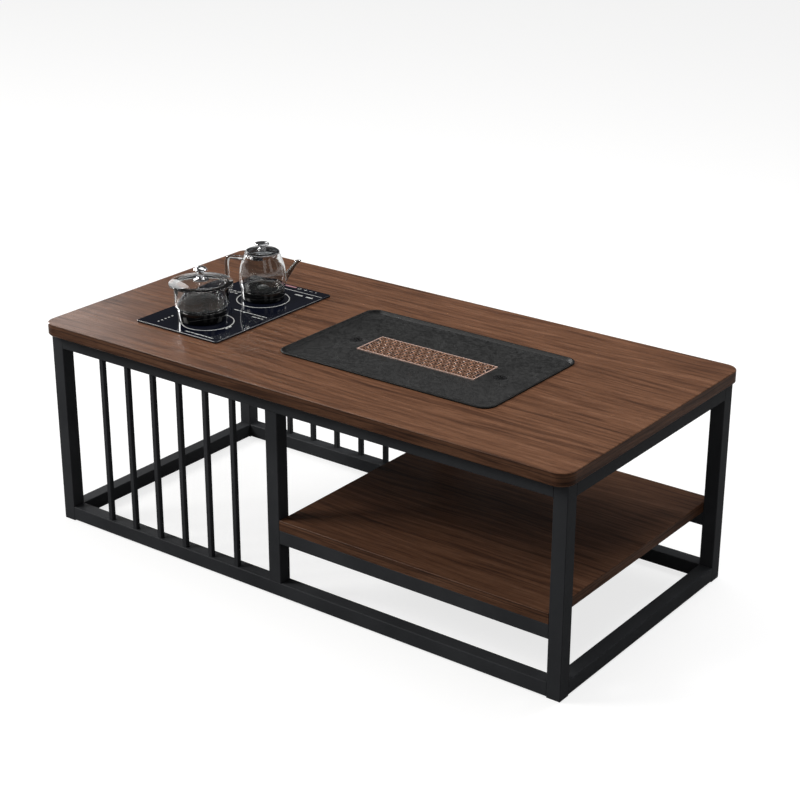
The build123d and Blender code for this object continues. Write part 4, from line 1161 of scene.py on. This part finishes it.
@dataclass
class Hob:
    """Let-in hob: black glass with generic printed signs, and its works below.

    A zone is (x, y, radius), the dots' row (x, lowest y, highest y) and a row of words (first x,
    last x, y).
    """

    print_height: float = 0.00005
    clamp_sheet: float = 0.0020
    zones: tuple[Triple, ...] = ((-0.3384, 0.0538, 0.0539), (-0.3357, -0.1127, 0.0517))
    zone_line: float = 0.0021
    large: float = 0.0200
    line_y: float = 0.1312
    line_width: float = 0.0017
    line_margin: float = 0.004
    dot_count: int = 5
    dot_row: Triple = (-0.4135, -0.1685, -0.1300)
    dot_size: float = 0.0042
    touch_marks: tuple[Mark, ...] = (
        Mark(MarkKind.DASH, -0.2965, 0.1155, 0.0190, 0.0050),
        Mark(MarkKind.DASH, -0.2695, 0.1155, 0.0165, 0.0050),
        Mark(MarkKind.RING, -0.3210, 0.1475, 0.0080, 0.0010),
        Mark(MarkKind.DASH, -0.3055, 0.1475, 0.0080, 0.0012),
        Mark(MarkKind.DASH, -0.3055, 0.1452, 0.0012, 0.0034),
        Mark(MarkKind.DASH, -0.3055, 0.1498, 0.0012, 0.0034),
        Mark(MarkKind.DASH, -0.2915, 0.1475, 0.0075, 0.0012),
        Mark(MarkKind.DOT, -0.2785, 0.1475, 0.0032, 0.0032),
        Mark(MarkKind.DASH, -0.2815, -0.1090, 0.0034, 0.0070),
        Mark(MarkKind.DASH, -0.2815, -0.1185, 0.0034, 0.0060),
    )
    rose_mark: Mark = Mark(MarkKind.DASH, -0.3450, 0.1490, 0.0290, 0.0058)
    grid_count: tuple[int, int] = (3, 2)
    grid_start: Point = (-0.4290, 0.0485)
    grid_pitch: Point = (0.0115, 0.0095)
    grid_size: float = 0.0070
    grid_kinds: tuple[tuple[MarkKind, float], ...] = (
        (MarkKind.DASH, 0.0030), (MarkKind.RING, 0.0012),
    )
    word_rows: tuple[Triple, ...] = (
        (-0.343, -0.259, -0.0275), (-0.287, -0.259, -0.0385), (-0.334, -0.262, -0.1775),
    )
    word_height: float = 0.0026
    word_lengths: tuple[float, ...] = (0.0115, 0.0070, 0.0140, 0.0090, 0.0055)
    word_gap: float = 0.0022

    def words(self, first: float, last: float, y: float) -> list[Mark]:
        """Dashes of uneven length that stand for a row of words.

        Args:
            first: x at which the row starts.
            last: x at which it ends.
            y: of the row.

        Returns:
            The dashes.
        """
        marks: list[Mark] = []
        while first < last:
            length = min(self.word_lengths[len(marks) % len(self.word_lengths)], last - first)
            marks.append(Mark(MarkKind.DASH, first + length / 2, y, length, self.word_height))
            first += length + self.word_gap
        return marks

    def grid(self) -> list[Mark]:
        """Rings and dashes in turn, in a small grid.

        Returns:
            The signs.
        """
        marks: list[Mark] = []
        for column, row in product(*map(range, self.grid_count)):
            odd = (column + row) % 2
            x = self.grid_start[0] + self.grid_pitch[0] * column
            y = self.grid_start[1] + self.grid_pitch[1] * row
            kind, width = self.grid_kinds[odd]
            marks.append(Mark(kind, x, y, self.grid_size, width))
        return marks

    def white_marks(self) -> list[Mark]:
        """Line, zones, dots, touch signs, grid and rows of words.

        Returns:
            The signs.
        """
        low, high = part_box("hob_glass")
        middle, length = (low.x + high.x) / 2, high.x - low.x - 2 * self.line_margin
        marks = [Mark(MarkKind.DASH, middle, self.line_y, length, self.line_width)]
        for x, y, radius in self.zones:
            marks.append(Mark(MarkKind.RING, x, y, 2 * radius, self.zone_line))
        x, low_y, high_y = self.dot_row
        for number in range(self.dot_count):
            y = low_y + (high_y - low_y) * number / (self.dot_count - 1)
            marks.append(Mark(MarkKind.DOT, x, y, self.dot_size, self.dot_size))
        marks += [*self.touch_marks, *self.grid()]
        for row in self.word_rows:
            marks += self.words(*row)
        return marks

    def draw(self, form: Form, mark: Mark) -> None:
        """Print one sign on the glass.

        Args:
            form: where it goes.
            mark: what is printed.
        """
        z, thick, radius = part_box("hob_glass")[1].z, self.print_height, mark.length / 2
        if mark.kind is MarkKind.DASH:
            form.slab((mark.length, mark.width, thick), (mark.x, mark.y, z + thick / 2))
        elif mark.kind is MarkKind.DOT:
            form.disc(radius, thick, (mark.x, mark.y, z), 20)
        else:
            inner = radius - mark.width
            section = [(inner, 0.0), (radius, 0.0), (radius, thick), (inner, thick)]
            ring = Form().turn(section, 96 if radius > self.large else 28)
            form.stamp(ring, Matrix.Translation((mark.x, mark.y, z)))
            ring.mesh.free()

    def print_signs(self) -> None:
        """Print the white signs and the rose one."""
        for name, finish, marks in (
            ("hob_white_signs", WHITE_PRINT, self.white_marks()),
            ("hob_rose_sign", ROSE_PRINT, [self.rose_mark]),
        ):
            signs = Form()
            for mark in marks:
                self.draw(signs, mark)
            publish(signs.object(name), finish, Body.TABLE)

    def clamp_screws(self) -> None:
        """A screw in the side of each clamp."""
        low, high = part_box("hob_clamps")
        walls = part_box("hob_housing")
        clamps, screws, head = Form().copy_node("hob_clamps"), Form(), TubeFrame().screw()
        rows = sorted({round(vert.co.y, 4) for vert in clamps.mesh.verts})
        clamps.mesh.free()
        z = low.z + (high.z - low.z) / 3
        for side, wall in zip((-1, 1), walls):
            turn = Matrix.Rotation(-side * math.pi / 2, 4, "Y")
            for y in ((rows[0] + rows[1]) / 2, (rows[-2] + rows[-1]) / 2):
                place = Matrix.Translation((wall.x + side * self.clamp_sheet, y, z))
                screws.stamp(head, place @ turn)
        head.mesh.free()
        publish(screws.object("hob_clamp_screws"), FASTENER, Body.TABLE)

    def build(self) -> None:
        """Make the sub-assembly."""
        dress(HOB_PANEL, "hob_glass")
        dress(GASKET, "hob_gasket")
        dress(HOUSING, "hob_housing")
        dress(FASTENER, "hob_clamps", "fill_nozzle", "water_inlet")
        dress(BOARD, "control_board")
        dress(INNER, "coil_carriers", "fan_frame", "fan_rotor", "water_pump", "power_gland")
        for node in ("front_coil", "rear_coil"):
            dress(CopperWinding(f"{node}_winding", "coil_copper", tuple(middle_of(node))), node)
        self.print_signs()
        self.clamp_screws()


@dataclass
class Vessel:
    """What the kettle and the pot share: their turn, their black base and how they are put down.

    The base's foot is given as (inset, rise) and its shoulder as (inset, drop).
    """

    body: Body
    lid_body: Body
    lid_node: str
    base_bore: float
    base_foot: tuple[Point, ...]
    base_shoulder: tuple[Point, ...]
    base_round: float = 0.0005
    turn: float = math.radians(36.65)
    seat_gap: float = 0.0002
    overrun: float = 0.0200
    facets: int = 112
    knob_facets: int = 72

    def place(self, node: str, z: float) -> Matrix:
        """Turned placement over the middle of a solid, at height z."""
        middle = middle_of(node)
        return Matrix.Translation((middle.x, middle.y, z)) @ Matrix.Rotation(self.turn, 4, "Z")

    def black_base(self) -> None:
        """Glossy black base, a hair lower than the glass on it."""
        node = f"{self.body.value}_base"
        low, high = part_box(node)
        radius, height = (high.x - low.x) / 2, high.z - low.z - self.seat_gap
        foot = [(radius - inset, rise) for inset, rise in self.base_foot]
        shoulder = [(radius - inset, height - drop) for inset, drop in self.base_shoulder]
        outline = [(self.base_bore, 0.0), *foot, *shoulder, (self.base_bore, height)]
        form = Form().turn(outline, self.facets).bevel(self.base_round, 2, 20.0)
        middle = middle_of(node)
        form.move(Matrix.Translation((middle.x, middle.y, low.z)))
        publish(form.object(f"{self.body.value}_black_base", 30.0), BASE_GLOSS, self.body, node)

    def set_glass(self, whole: Form, edge: float, rounds: int, above: float) -> bpy.types.Object:
        """Round the rims over a height and set the glass on its base.

        Args:
            whole: the glass.
            edge: radius of the rims.
            rounds: facets across them.
            above: height over which the rims lie.

        Returns:
            The glass as an object.
        """
        name = self.body.value
        whole.bevel(edge, rounds, RIM_ANGLE, above)
        whole.move(self.place(f"{name}_base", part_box(f"{name}_glass")[0].z))
        return whole.object(f"{name}_vessel", RIM_ANGLE)

    def lid_piece(self, name: str, form: Form, finish: Finish, node: str) -> None:
        """Set a turned piece of the lid over the middle of the lid.

        Args:
            name: what the piece is called.
            form: the piece, round the Z axis.
            finish: what it is made of.
            node: the solid that it takes the place of.
        """
        middle = middle_of(self.lid_node)
        form.move(Matrix.Translation((middle.x, middle.y, 0.0)))
        publish(form.object(name), finish, self.lid_body, node)


@dataclass
class Kettle(Vessel):
    """Glass kettle on its black base, with a beak spout, a free-ended handle and a knobbed lid.

    Points are (radius, height). A bow places the middle of an arc, as shares of its way across and
    along. The knob's flare, brim and edge are measured down from its top.
    """

    body: Body = Body.KETTLE
    lid_body: Body = Body.KETTLE_LID
    lid_node: str = "kettle_lid_band"
    base_bore: float = 0.0122
    base_foot: tuple[Point, ...] = ((0.0030, 0.0), (0.0008, 0.0012), (0.0, 0.0040))
    base_shoulder: tuple[Point, ...] = ((0.0, 0.0012), (0.0012, 0.0))
    foot_radius: float = 0.0405
    low_radius: float = 0.0455
    low_rise: float = 0.0040
    low_bow: Point = (0.29, 0.71)
    belly_radius: float = 0.0475
    belly_rise: float = 0.0230
    shoulder_radius: float = 0.0400
    shoulder_rise: float = 0.0590
    neck_radius: float = 0.0340
    neck_bow: float = 0.0006
    wall: float = 0.0020
    rim_round: float = 0.0004
    spout_root: Point = (0.0360, 0.0090)
    spout_tip: Point = (0.0715, 0.0570)
    spout_root_radius: float = 0.0082
    spout_tip_radius: float = 0.0039
    spout_wall: float = 0.0013
    spout_neck: float = 0.78
    spout_bow: Point = (0.62, 0.42)
    lip_flare: float = 0.0012
    lip_bow: Point = (0.20, 0.90)
    lip_carry: float = 0.30
    handle_radius: float = 0.0042
    handle_points: tuple[Point, ...] = (
        (-0.0335, 0.0615), (-0.0440, 0.0625), (-0.0560, 0.0638), (-0.0690, 0.0650),
        (-0.0712, 0.0500), (-0.0712, 0.0330), (-0.0706, 0.0190), (-0.0665, 0.0060),
        (-0.0655, 0.0012),
    )
    handle_taper: Point = (0.95, 0.35)
    valve_hole: float = 0.0042
    lid_play: float = 0.0005
    band_wall: float = 0.0012
    flange_thickness: float = 0.0022
    pane_rise: float = 0.0030
    pane_lift: float = 0.0001
    pane_round: float = 0.0005
    knob_foot: tuple[Point, ...] = ((0.0, -0.0004), (0.0090, -0.0010), (0.0088, 0.0008))
    knob_hollow: Point = (0.0058, 0.0020)
    knob_stem: Point = (0.0046, 0.0042)
    knob_flare: Point = (0.0072, -0.0046)
    knob_brim: Point = (0.0004, -0.0030)
    knob_edge: float = -0.0014
    knob_dish: float = 0.0022

    def section(self, wall: float, height: float, top: float) -> list[Point]:
        """Half section of the body.

        Args:
            wall: how far it is drawn in.
            height: of the neck's rim over the floor's underside.
            top: height at which it is closed.

        Returns:
            The outline, from the floor's middle to the top's middle.
        """
        foot = (self.foot_radius - wall, wall)
        low = (self.low_radius - wall, self.low_rise + wall)
        corner = tuple(
            end - share * (end - start) for start, end, share in zip(foot, low, self.low_bow)
        )
        shoulder = (self.shoulder_radius - wall, self.shoulder_rise)
        neck = (self.neck_radius - wall, height)
        bend = (0.5 * (shoulder[0] + neck[0]) + self.neck_bow, 0.5 * (shoulder[1] + neck[1]))
        points = [(0.0, wall), foot, *through(foot, corner, low, 5)]
        points += through(low, (self.belly_radius - wall, self.belly_rise), shoulder, 18)
        points += through(shoulder, bend, neck, 6)
        above = [(neck[0], top)] if top > height else []
        return [*points, *above, (0.0, top)]

    def spout_axis(self) -> Matrix:
        """Placement that sets the Z axis along the spout from its root.

        Returns:
            The placement.
        """
        root, tip = (Vector((x, 0.0, z)) for x, z in (self.spout_root, self.spout_tip))
        lean = (tip - root).to_track_quat("Z", "Y").to_matrix().to_4x4()
        return Matrix.Translation(root) @ lean

    def spout(self, cut: float) -> Form:
        """Leaning taper of the spout.

        Args:
            cut: nothing for its outside, or its wall for its bore.

        Returns:
            The taper, which runs on past the tip.
        """
        run = math.dist(self.spout_root, self.spout_tip)
        root, tip = self.spout_root_radius - cut, self.spout_tip_radius - cut
        neck, mouth, end = (tip, self.spout_neck * run), tip + self.lip_flare, run + self.overrun
        bow = (root - self.spout_bow[0] * (root - tip), self.spout_bow[1] * run)
        lip = (tip + self.lip_bow[0] * self.lip_flare, self.lip_bow[1] * run)
        outline = [(0.0, 0.0), (root, 0.0), *through((root, 0.0), bow, neck, 10)]
        outline += through(neck, lip, (mouth, run), 5)
        outline += [(mouth + self.lip_carry * self.lip_flare, end), (0.0, end)]
        return Form().turn(outline, 48).move(self.spout_axis())

    def handle(self) -> Form:
        """Bent glass rod whose lower end is free and rounded.

        Returns:
            The rod.
        """
        curve = bpy.data.curves.new("rod", "CURVE")
        curve.dimensions = "3D"
        curve.bevel_depth = self.handle_radius
        curve.bevel_resolution = 6
        curve.resolution_u = 10
        curve.use_fill_caps = True
        spline = curve.splines.new("NURBS")
        spline.points.add(len(self.handle_points) - 1)
        for point, (x, z) in zip(spline.points, self.handle_points):
            point.co = (x, 0.0, z, 1.0)
        spline.points[-2].radius, spline.points[-1].radius = self.handle_taper
        spline.order_u = 4
        spline.use_endpoint_u = True
        rod = bpy.data.objects.new("rod", curve)
        bpy.context.scene.collection.objects.link(rod)
        form = Form().take_in(rod).tidy()
        bpy.data.curves.remove(curve)
        return form

    def vessel(self) -> None:
        """Body, spout and handle blown as one piece of glass."""
        low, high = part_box("kettle_glass")
        height, tip_z = high.z - low.z, self.spout_tip[1]
        cavity = self.section(self.wall, height, height + self.overrun)
        above = Form().slab((0.1, 0.1, 0.05), (self.spout_tip[0] + 0.02, 0.0, tip_z + 0.025))
        beak = work_in(self.spout(0.0), [(Cut.TAKE_AWAY, above)])
        whole = work_in(Form().turn(self.section(0.0, height, height), self.facets), [
            (Cut.JOIN, self.handle()),
            (Cut.JOIN, beak),
            (Cut.TAKE_AWAY, Form().turn(cavity, self.facets)),
            (Cut.TAKE_AWAY, self.spout(self.spout_wall)),
            (Cut.TAKE_AWAY, Form().disc(self.valve_hole, 3 * self.wall, (0, 0, -self.wall))),
        ])
        piece = self.set_glass(whole, self.rim_round, 2, tip_z - NEAR)
        publish(piece, KETTLE_GLASS, Body.KETTLE, "kettle_glass", "kettle_spout", "kettle_handle")

    def band(self) -> None:
        """Steel band whose skirt hangs in the neck."""
        low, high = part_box("kettle_lid_band")
        flange, flange_low = (high.x - low.x) / 2, high.z - self.flange_thickness
        skirt = self.neck_radius - self.wall - self.lid_play
        seat = skirt - self.band_wall
        outline = [
            (seat, low.z), (skirt, low.z), (skirt, flange_low), (flange, flange_low),
            (flange, high.z), (seat, high.z),
        ]
        form = Form().turn(outline, self.facets).bevel(self.rim_round, 2, 40.0)
        self.lid_piece("lid_band_steel", form, STEEL, "kettle_lid_band")

    def pane(self) -> None:
        """Shallow glass dome in the band."""
        low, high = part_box("kettle_lid_glass")
        rim, rise = (high.x - low.x) / 2, self.pane_rise
        outline = dome(rim, high.z - rise, rise) + dome(rim, low.z + self.pane_lift, rise)[::-1]
        form = Form().turn(outline, self.facets).bevel(self.pane_round, 2, 40.0)
        # the pane takes the dark tint that is painted shade
        self.lid_piece("lid_pane_glass", form, LID_GLASS_PAINTED_SHADE, "kettle_lid_glass")

    def knob(self) -> None:
        """Dished knob on a waisted stem."""
        low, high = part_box("kettle_lid_knob")
        foot, cap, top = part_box("kettle_lid_glass")[1].z, (high.x - low.x) / 2, high.z
        low_points = (*self.knob_foot, self.knob_hollow, self.knob_stem)
        *outline, hollow, stem = [(radius, foot + rise) for radius, rise in low_points]
        flare, brim = (self.knob_flare[0], top + self.knob_flare[1]), self.knob_brim
        rim = cap - self.knob_dish
        outline += through(outline[-1], hollow, stem, 5)
        outline += through(stem, flare, (cap - brim[0], top + brim[1]), 6)
        outline += through(outline[-1], (cap, top + self.knob_edge), (rim, top), 5)
        outline += dome(rim, top, -self.knob_dish)[1:]
        form = Form().turn(outline, self.knob_facets)
        self.lid_piece("lid_knob_steel", form, STEEL, "kettle_lid_knob")

    def build(self) -> None:
        """Make the sub-assembly."""
        self.black_base()
        self.vessel()
        self.band()
        self.pane()
        self.knob()
        dress(VALVE, "kettle_valve")


@dataclass
class Pot(Vessel):
    """Low glass pot with two ears on its black base, under a wide domed lid.

    The knob's points are (radius, height over the glass), each arc as its middle, its end and its
    facets.
    """

    body: Body = Body.POT
    lid_body: Body = Body.POT_LID
    lid_node: str = "pot_lid_glass"
    base_bore: float = 0.0
    base_foot: tuple[Point, ...] = ((0.0032, 0.0), (0.0018, 0.0014))
    base_shoulder: tuple[Point, ...] = ((0.0, 0.0016), (0.0014, 0.0))
    radius: float = 0.0532
    foot_round: float = 0.0090
    foot_bow: float = 0.293
    wall: float = 0.0022
    rim_round: float = 0.0006
    ear_round: float = 0.0012
    ear_reach: float = 0.0620
    ear_width: float = 0.0150
    ear_thickness: float = 0.0045
    ear_corner: float = 0.0060
    ear_drop: float = 0.0030
    lid_facets: int = 128
    lid_play: float = 0.0008
    lid_ring: float = 0.0022
    lid_rise: float = 0.0055
    lid_skirt: float = 0.0040
    knob_foot: tuple[Point, ...] = ((0.0, -0.0004), (0.0160, -0.0012), (0.0158, 0.0004))
    knob_arcs: tuple[tuple[Point, Point, int], ...] = (
        ((0.0098, 0.0022), (0.0066, 0.0062), 7),
        ((0.0056, 0.0110), (0.0066, 0.0158), 5),
        ((0.0104, 0.0176), (0.0138, 0.0190), 4),
    )
    knob_crown: Point = (0.70 * 0.0138, -0.0016)

    def section(self, wall: float, top: float) -> list[Point]:
        """Half section of the body.

        Args:
            wall: how far it is drawn in.
            top: height at which it is closed.

        Returns:
            The outline, from the floor's middle to the top's middle.
        """
        side = self.radius - wall
        bend = self.foot_round - wall
        foot = (side - bend, wall)
        low = (side, wall + bend)
        corner = (side - self.foot_bow * bend, wall + self.foot_bow * bend)
        return [(0.0, wall), foot, *through(foot, corner, low, 8), (side, top), (0.0, top)]

    def vessel(self) -> None:
        """Body and ears as one piece of glass."""
        low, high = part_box("pot_glass")
        height = high.z - low.z
        ear_low = height - self.ear_drop - self.ear_thickness
        ears = Form().rounded_plate(
            (2 * self.ear_reach, self.ear_width), self.ear_corner, ear_low, self.ear_thickness,
        ).bevel(self.ear_round, 3, 40.0)
        cavity = self.section(self.wall, height + self.overrun)
        whole = work_in(Form().turn(self.section(0.0, height), self.facets), [
            (Cut.JOIN, ears),
            (Cut.TAKE_AWAY, Form().turn(cavity, self.facets)),
        ])
        piece = self.set_glass(whole, self.rim_round, 3, height - NEAR)
        publish(piece, GLASS, Body.POT, "pot_glass")

    def pane(self) -> None:
        """Domed glass lid with its brim and locating ring."""
        low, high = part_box("pot_lid_glass")
        brim, rise, seat = (high.x - low.x) / 2, self.lid_rise, low.z + self.lid_skirt
        ring = self.radius - self.wall - self.lid_play
        inner = ring - self.lid_ring
        outline = [
            *dome(brim, high.z - rise, rise, 14), *dome(inner, seat, rise, 12)[::-1],
            (inner, low.z), (ring, low.z), (ring, seat), (brim, seat),
        ]
        form = Form().turn(outline, self.lid_facets).bevel(self.rim_round, 3, 40.0)
        self.lid_piece("pot_lid_pane", form, LID_GLASS, "pot_lid_glass")

    def knob(self) -> None:
        """Mushroom knob on a waisted stem."""
        foot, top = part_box("pot_lid_glass")[1].z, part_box("pot_lid_knob")[1].z
        outline = [(radius, foot + rise) for radius, rise in self.knob_foot]
        for middle, end, steps in self.knob_arcs:
            bend, end = ((radius, foot + rise) for radius, rise in (middle, end))
            outline += through(outline[-1], bend, end, steps)
        crown = (self.knob_crown[0], top + self.knob_crown[1])
        outline += through(outline[-1], crown, (0.0, top), 12)
        form = Form().turn(outline, self.knob_facets)
        self.lid_piece("pot_knob_steel", form, STEEL, "pot_lid_knob")

    def build(self) -> None:
        """Make the sub-assembly."""
        self.black_base()
        self.vessel()
        self.pane()
        self.knob()


@dataclass
class TeaTray:
    """Dropped-in tea tray with its drain works, carved drain panel and two strainers."""

    lip_round: float = 0.0010
    hole_pitch: Point = (0.0162, 0.0160)
    rows: int = 5
    columns: int = 16
    coin_radius: float = 0.0092
    diamond_radius: float = 0.0045
    ridge_width: float = 0.0016
    ridge_height: float = 0.0005
    ridge_back: float = 0.45
    sink: float = 0.0001
    margin: float = 0.00005

    def basin(self) -> None:
        """The tray itself with its edges rounded."""
        form = Form().copy_node("tea_tray").bevel(self.lip_round, 3, 25.0)
        piece = form.object("tray_basin", 40.0)
        publish(piece, STONE, Body.TRAY, "tea_tray")

    def ridge(self, radius: float, steps: int) -> Form:
        """Ring-shaped ridge with sloping flanks, standing on z = 0.

        Args:
            radius: of its crown's middle.
            steps: facets round it; four make a diamond.

        Returns:
            The ridge.
        """
        half, top = self.ridge_width / 2, self.ridge_height
        back = self.ridge_back * half
        section = [
            (radius - half, -self.sink), (radius + half, -self.sink), (radius + back, top),
            (radius - back, top),
        ]
        return Form().turn(section, steps)

    def lattice(self) -> None:
        """Overlapping coins and small diamonds round the drain holes."""
        low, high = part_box("drain_grille")
        middle, coins = (low + high) / 2, Form()
        signs = [self.ridge(self.coin_radius, 20), self.ridge(self.diamond_radius, 4)]
        for row in range(self.rows):
            count = self.columns - row % 2
            y = middle.y + (row - (self.rows - 1) / 2) * self.hole_pitch[1]
            for column in range(count):
                x = middle.x + (column - (count - 1) / 2) * self.hole_pitch[0]
                for sign in signs:
                    coins.stamp(sign, Matrix.Translation((x, y, high.z)))
        for sign in signs:
            sign.mesh.free()
        for (corner, way), axis in product(((low, -1), (high, 1)), ((1, 0, 0), (0, 1, 0))):
            outward = way * Vector(axis)
            geometry = coins.mesh.verts[:] + coins.mesh.edges[:] + coins.mesh.faces[:]
            bmesh.ops.bisect_plane(
                coins.mesh, geom=geometry, dist=MERGE_DISTANCE, plane_no=outward,
                plane_co=corner - self.margin * outward, clear_outer=True,
            )
            open_edges = [edge for edge in coins.mesh.edges if edge.is_boundary]
            bmesh.ops.holes_fill(coins.mesh, edges=open_edges, sides=0)
        publish(coins.object("panel_lattice"), RIDGE_BROWN_PAINTED_HIGHLIGHT, Body.GRILLE)

    def build(self) -> None:
        """Make the sub-assembly."""
        self.basin()
        dress(STONE, "drain_pan")
        dress(INNER, "drain_spigot", "spigot_nut")
        dress(PANEL_BROWN_PAINTED_SHADE, "drain_grille")
        dress(ROSE_METAL, "grille_border")
        dress(STRAINER, "left_strainer", "right_strainer")
        self.lattice()


# ------------------------------------------------------------------------------ the studio
@dataclass(frozen=True)
class SoftBox:
    """An area lamp: where it hangs, where it points, its size, its power and what it lights."""

    name: str
    place: Triple
    aim: Triple
    size: Point
    power: float
    colour: Colour = WHITE
    only_gloss: bool = False

    def hang(self) -> None:
        """Put the lamp into the scene."""
        data = bpy.data.lights.new(self.name, "AREA")
        data.shape = "RECTANGLE"
        data.size, data.size_y = self.size
        data.energy = self.power
        data.color = self.colour
        lamp = bpy.data.objects.new(self.name, data)
        lamp.location = self.place
        direction = Vector(self.aim) - Vector(self.place)
        lamp.rotation_euler = direction.to_track_quat("-Z", "Y").to_euler()
        lamp.visible_camera = False
        lamp.visible_diffuse = lamp.visible_transmission = not self.only_gloss
        bpy.context.scene.collection.objects.link(lamp)


HOB_AIM = (-0.35, 0.0, 0.47)
LEFT_AIM = (-0.35, -0.05, 0.47)
LAMPS = (
    SoftBox("key_box", (-4.6, -3.4, 4.2), (0.0, 0.0, 0.3), (2.5, 2.5), 320.0, (1.0, 0.985, 0.96)),
    SoftBox("top_box", (0.0, 0.8, 3.6), (0.0, 0.1, 0.4), (3.2, 2.6), 60.0),
    SoftBox("sheen_card", (-2.95, 1.45, 1.62), (-0.5, 0.0, 0.43), (1.1, 1.3), 11.5, WHITE, True),
    SoftBox("back_box", (0.75, 1.25, 1.60), (0.35, 0.2, 0.43), (0.9, 0.7), 9.0),
    SoftBox("left_strip", (-2.70, 0.05, 1.40), LEFT_AIM, (0.42, 1.2), 120.0, WHITE, True),
    SoftBox("right_strip", (1.75, -1.45, 1.45), HOB_AIM, (0.7, 1.2), 4.0, WHITE, True),
    SoftBox("far_strip", (2.15, -0.1, 1.45), HOB_AIM, (0.7, 1.2), 4.0, WHITE, True),
)


@dataclass
class Studio:
    """Pale floor, soft lamps, plain world and the camera."""

    floor_size: float = 40.0
    floor_greys: Point = (0.34, 0.37)
    seen_grey: float = 0.36
    seen_glow: float = 0.76
    world_strength: float = 0.25
    ceiling_gloss: float = 0.07
    camera_place: Triple = (1.94902, -2.54409, 1.61474)
    camera_turn: float = math.radians(36.653)
    camera_tilt: float = math.radians(22.300)
    camera_roll: float = math.radians(0.168)
    camera_lens: float = 81.595
    camera_shift: Point = (-0.00544, 0.00638)

    def floor(self) -> None:
        """Pale floor that looks white beside the object and keeps its shadow."""
        form = Form()
        bmesh.ops.create_grid(form.mesh, x_segments=1, y_segments=1, size=self.floor_size / 2)
        floor = form.object("floor")
        floor.location.z = -MM
        material = bpy.data.materials.new("pale_floor")
        graph = Graph(material)
        greys = [scaled(WHITE, grey) for grey in self.floor_greys]
        tint = graph.blend(graph.noise(graph.position(), 3.0, 3.0), *greys)
        lit = graph.add("BsdfDiffuse", {"Color": tint})
        glow = graph.add("Emission", {"Color": WHITE, "Strength": self.seen_glow})
        dim = graph.add("BsdfDiffuse", {"Color": scaled(WHITE, self.seen_grey)})
        seen = graph.add("AddShader", {0: dim.outputs[0], 1: glow.outputs[0]})
        sides = {0: graph.ray("Camera", "Transmission"), 1: lit.outputs[0], 2: seen.outputs[0]}
        graph.show(graph.add("MixShader", sides))
        floor.data.materials.append(material)

    def world(self) -> None:
        """Even sky for the light; white low down and greyer overhead where it is mirrored."""
        world = bpy.data.worlds.new("studio_world")
        bpy.context.scene.world = world
        graph = Graph(world)
        up = graph.parts(graph.add("TexCoord", {}).outputs["Generated"])[2]
        mirrored = graph.levels(up, 0.03, 0.15, 1.0, self.ceiling_gloss)
        strength = graph.either(graph.ray("Glossy", "Transmission"), self.world_strength, mirrored)
        strength = graph.either(graph.ray("Camera"), strength, 1.0)
        sky = graph.add("Background", {"Color": WHITE, "Strength": strength})
        graph.add("OutputWorld", {"Surface": sky.outputs[0]})

    def camera(self) -> None:
        """Set up the camera."""
        data = bpy.data.cameras.new("camera")
        data.lens = self.camera_lens
        data.sensor_width = 36.0
        data.shift_x, data.shift_y = self.camera_shift
        data.clip_end = 100.0
        camera = bpy.data.objects.new("camera", data)
        turn = Matrix.Rotation(self.camera_turn, 4, "Z")
        tilt = Matrix.Rotation(math.pi / 2 - self.camera_tilt, 4, "X")
        roll = Matrix.Rotation(self.camera_roll, 4, "Z")
        camera.matrix_world = Matrix.Translation(self.camera_place) @ turn @ tilt @ roll
        bpy.context.scene.collection.objects.link(camera)
        bpy.context.scene.camera = camera

    def build(self) -> None:
        """Make the studio."""
        bpy.context.scene.view_settings.view_transform = "Standard"
        self.camera()
        self.floor()
        self.world()
        for box in LAMPS:
            box.hang()


def main() -> None:
    """Build the table's sub-assemblies and the studio, in order."""
    logging.basicConfig(level=logging.INFO, format="%(message)s")
    for part in (Studio(), TubeFrame(), Boards(), Hob(), Kettle(), Pot(), TeaTray()):
        LOG.info("building %s", type(part).__name__)
        part.build()


if __name__ == "__main__":
    main()
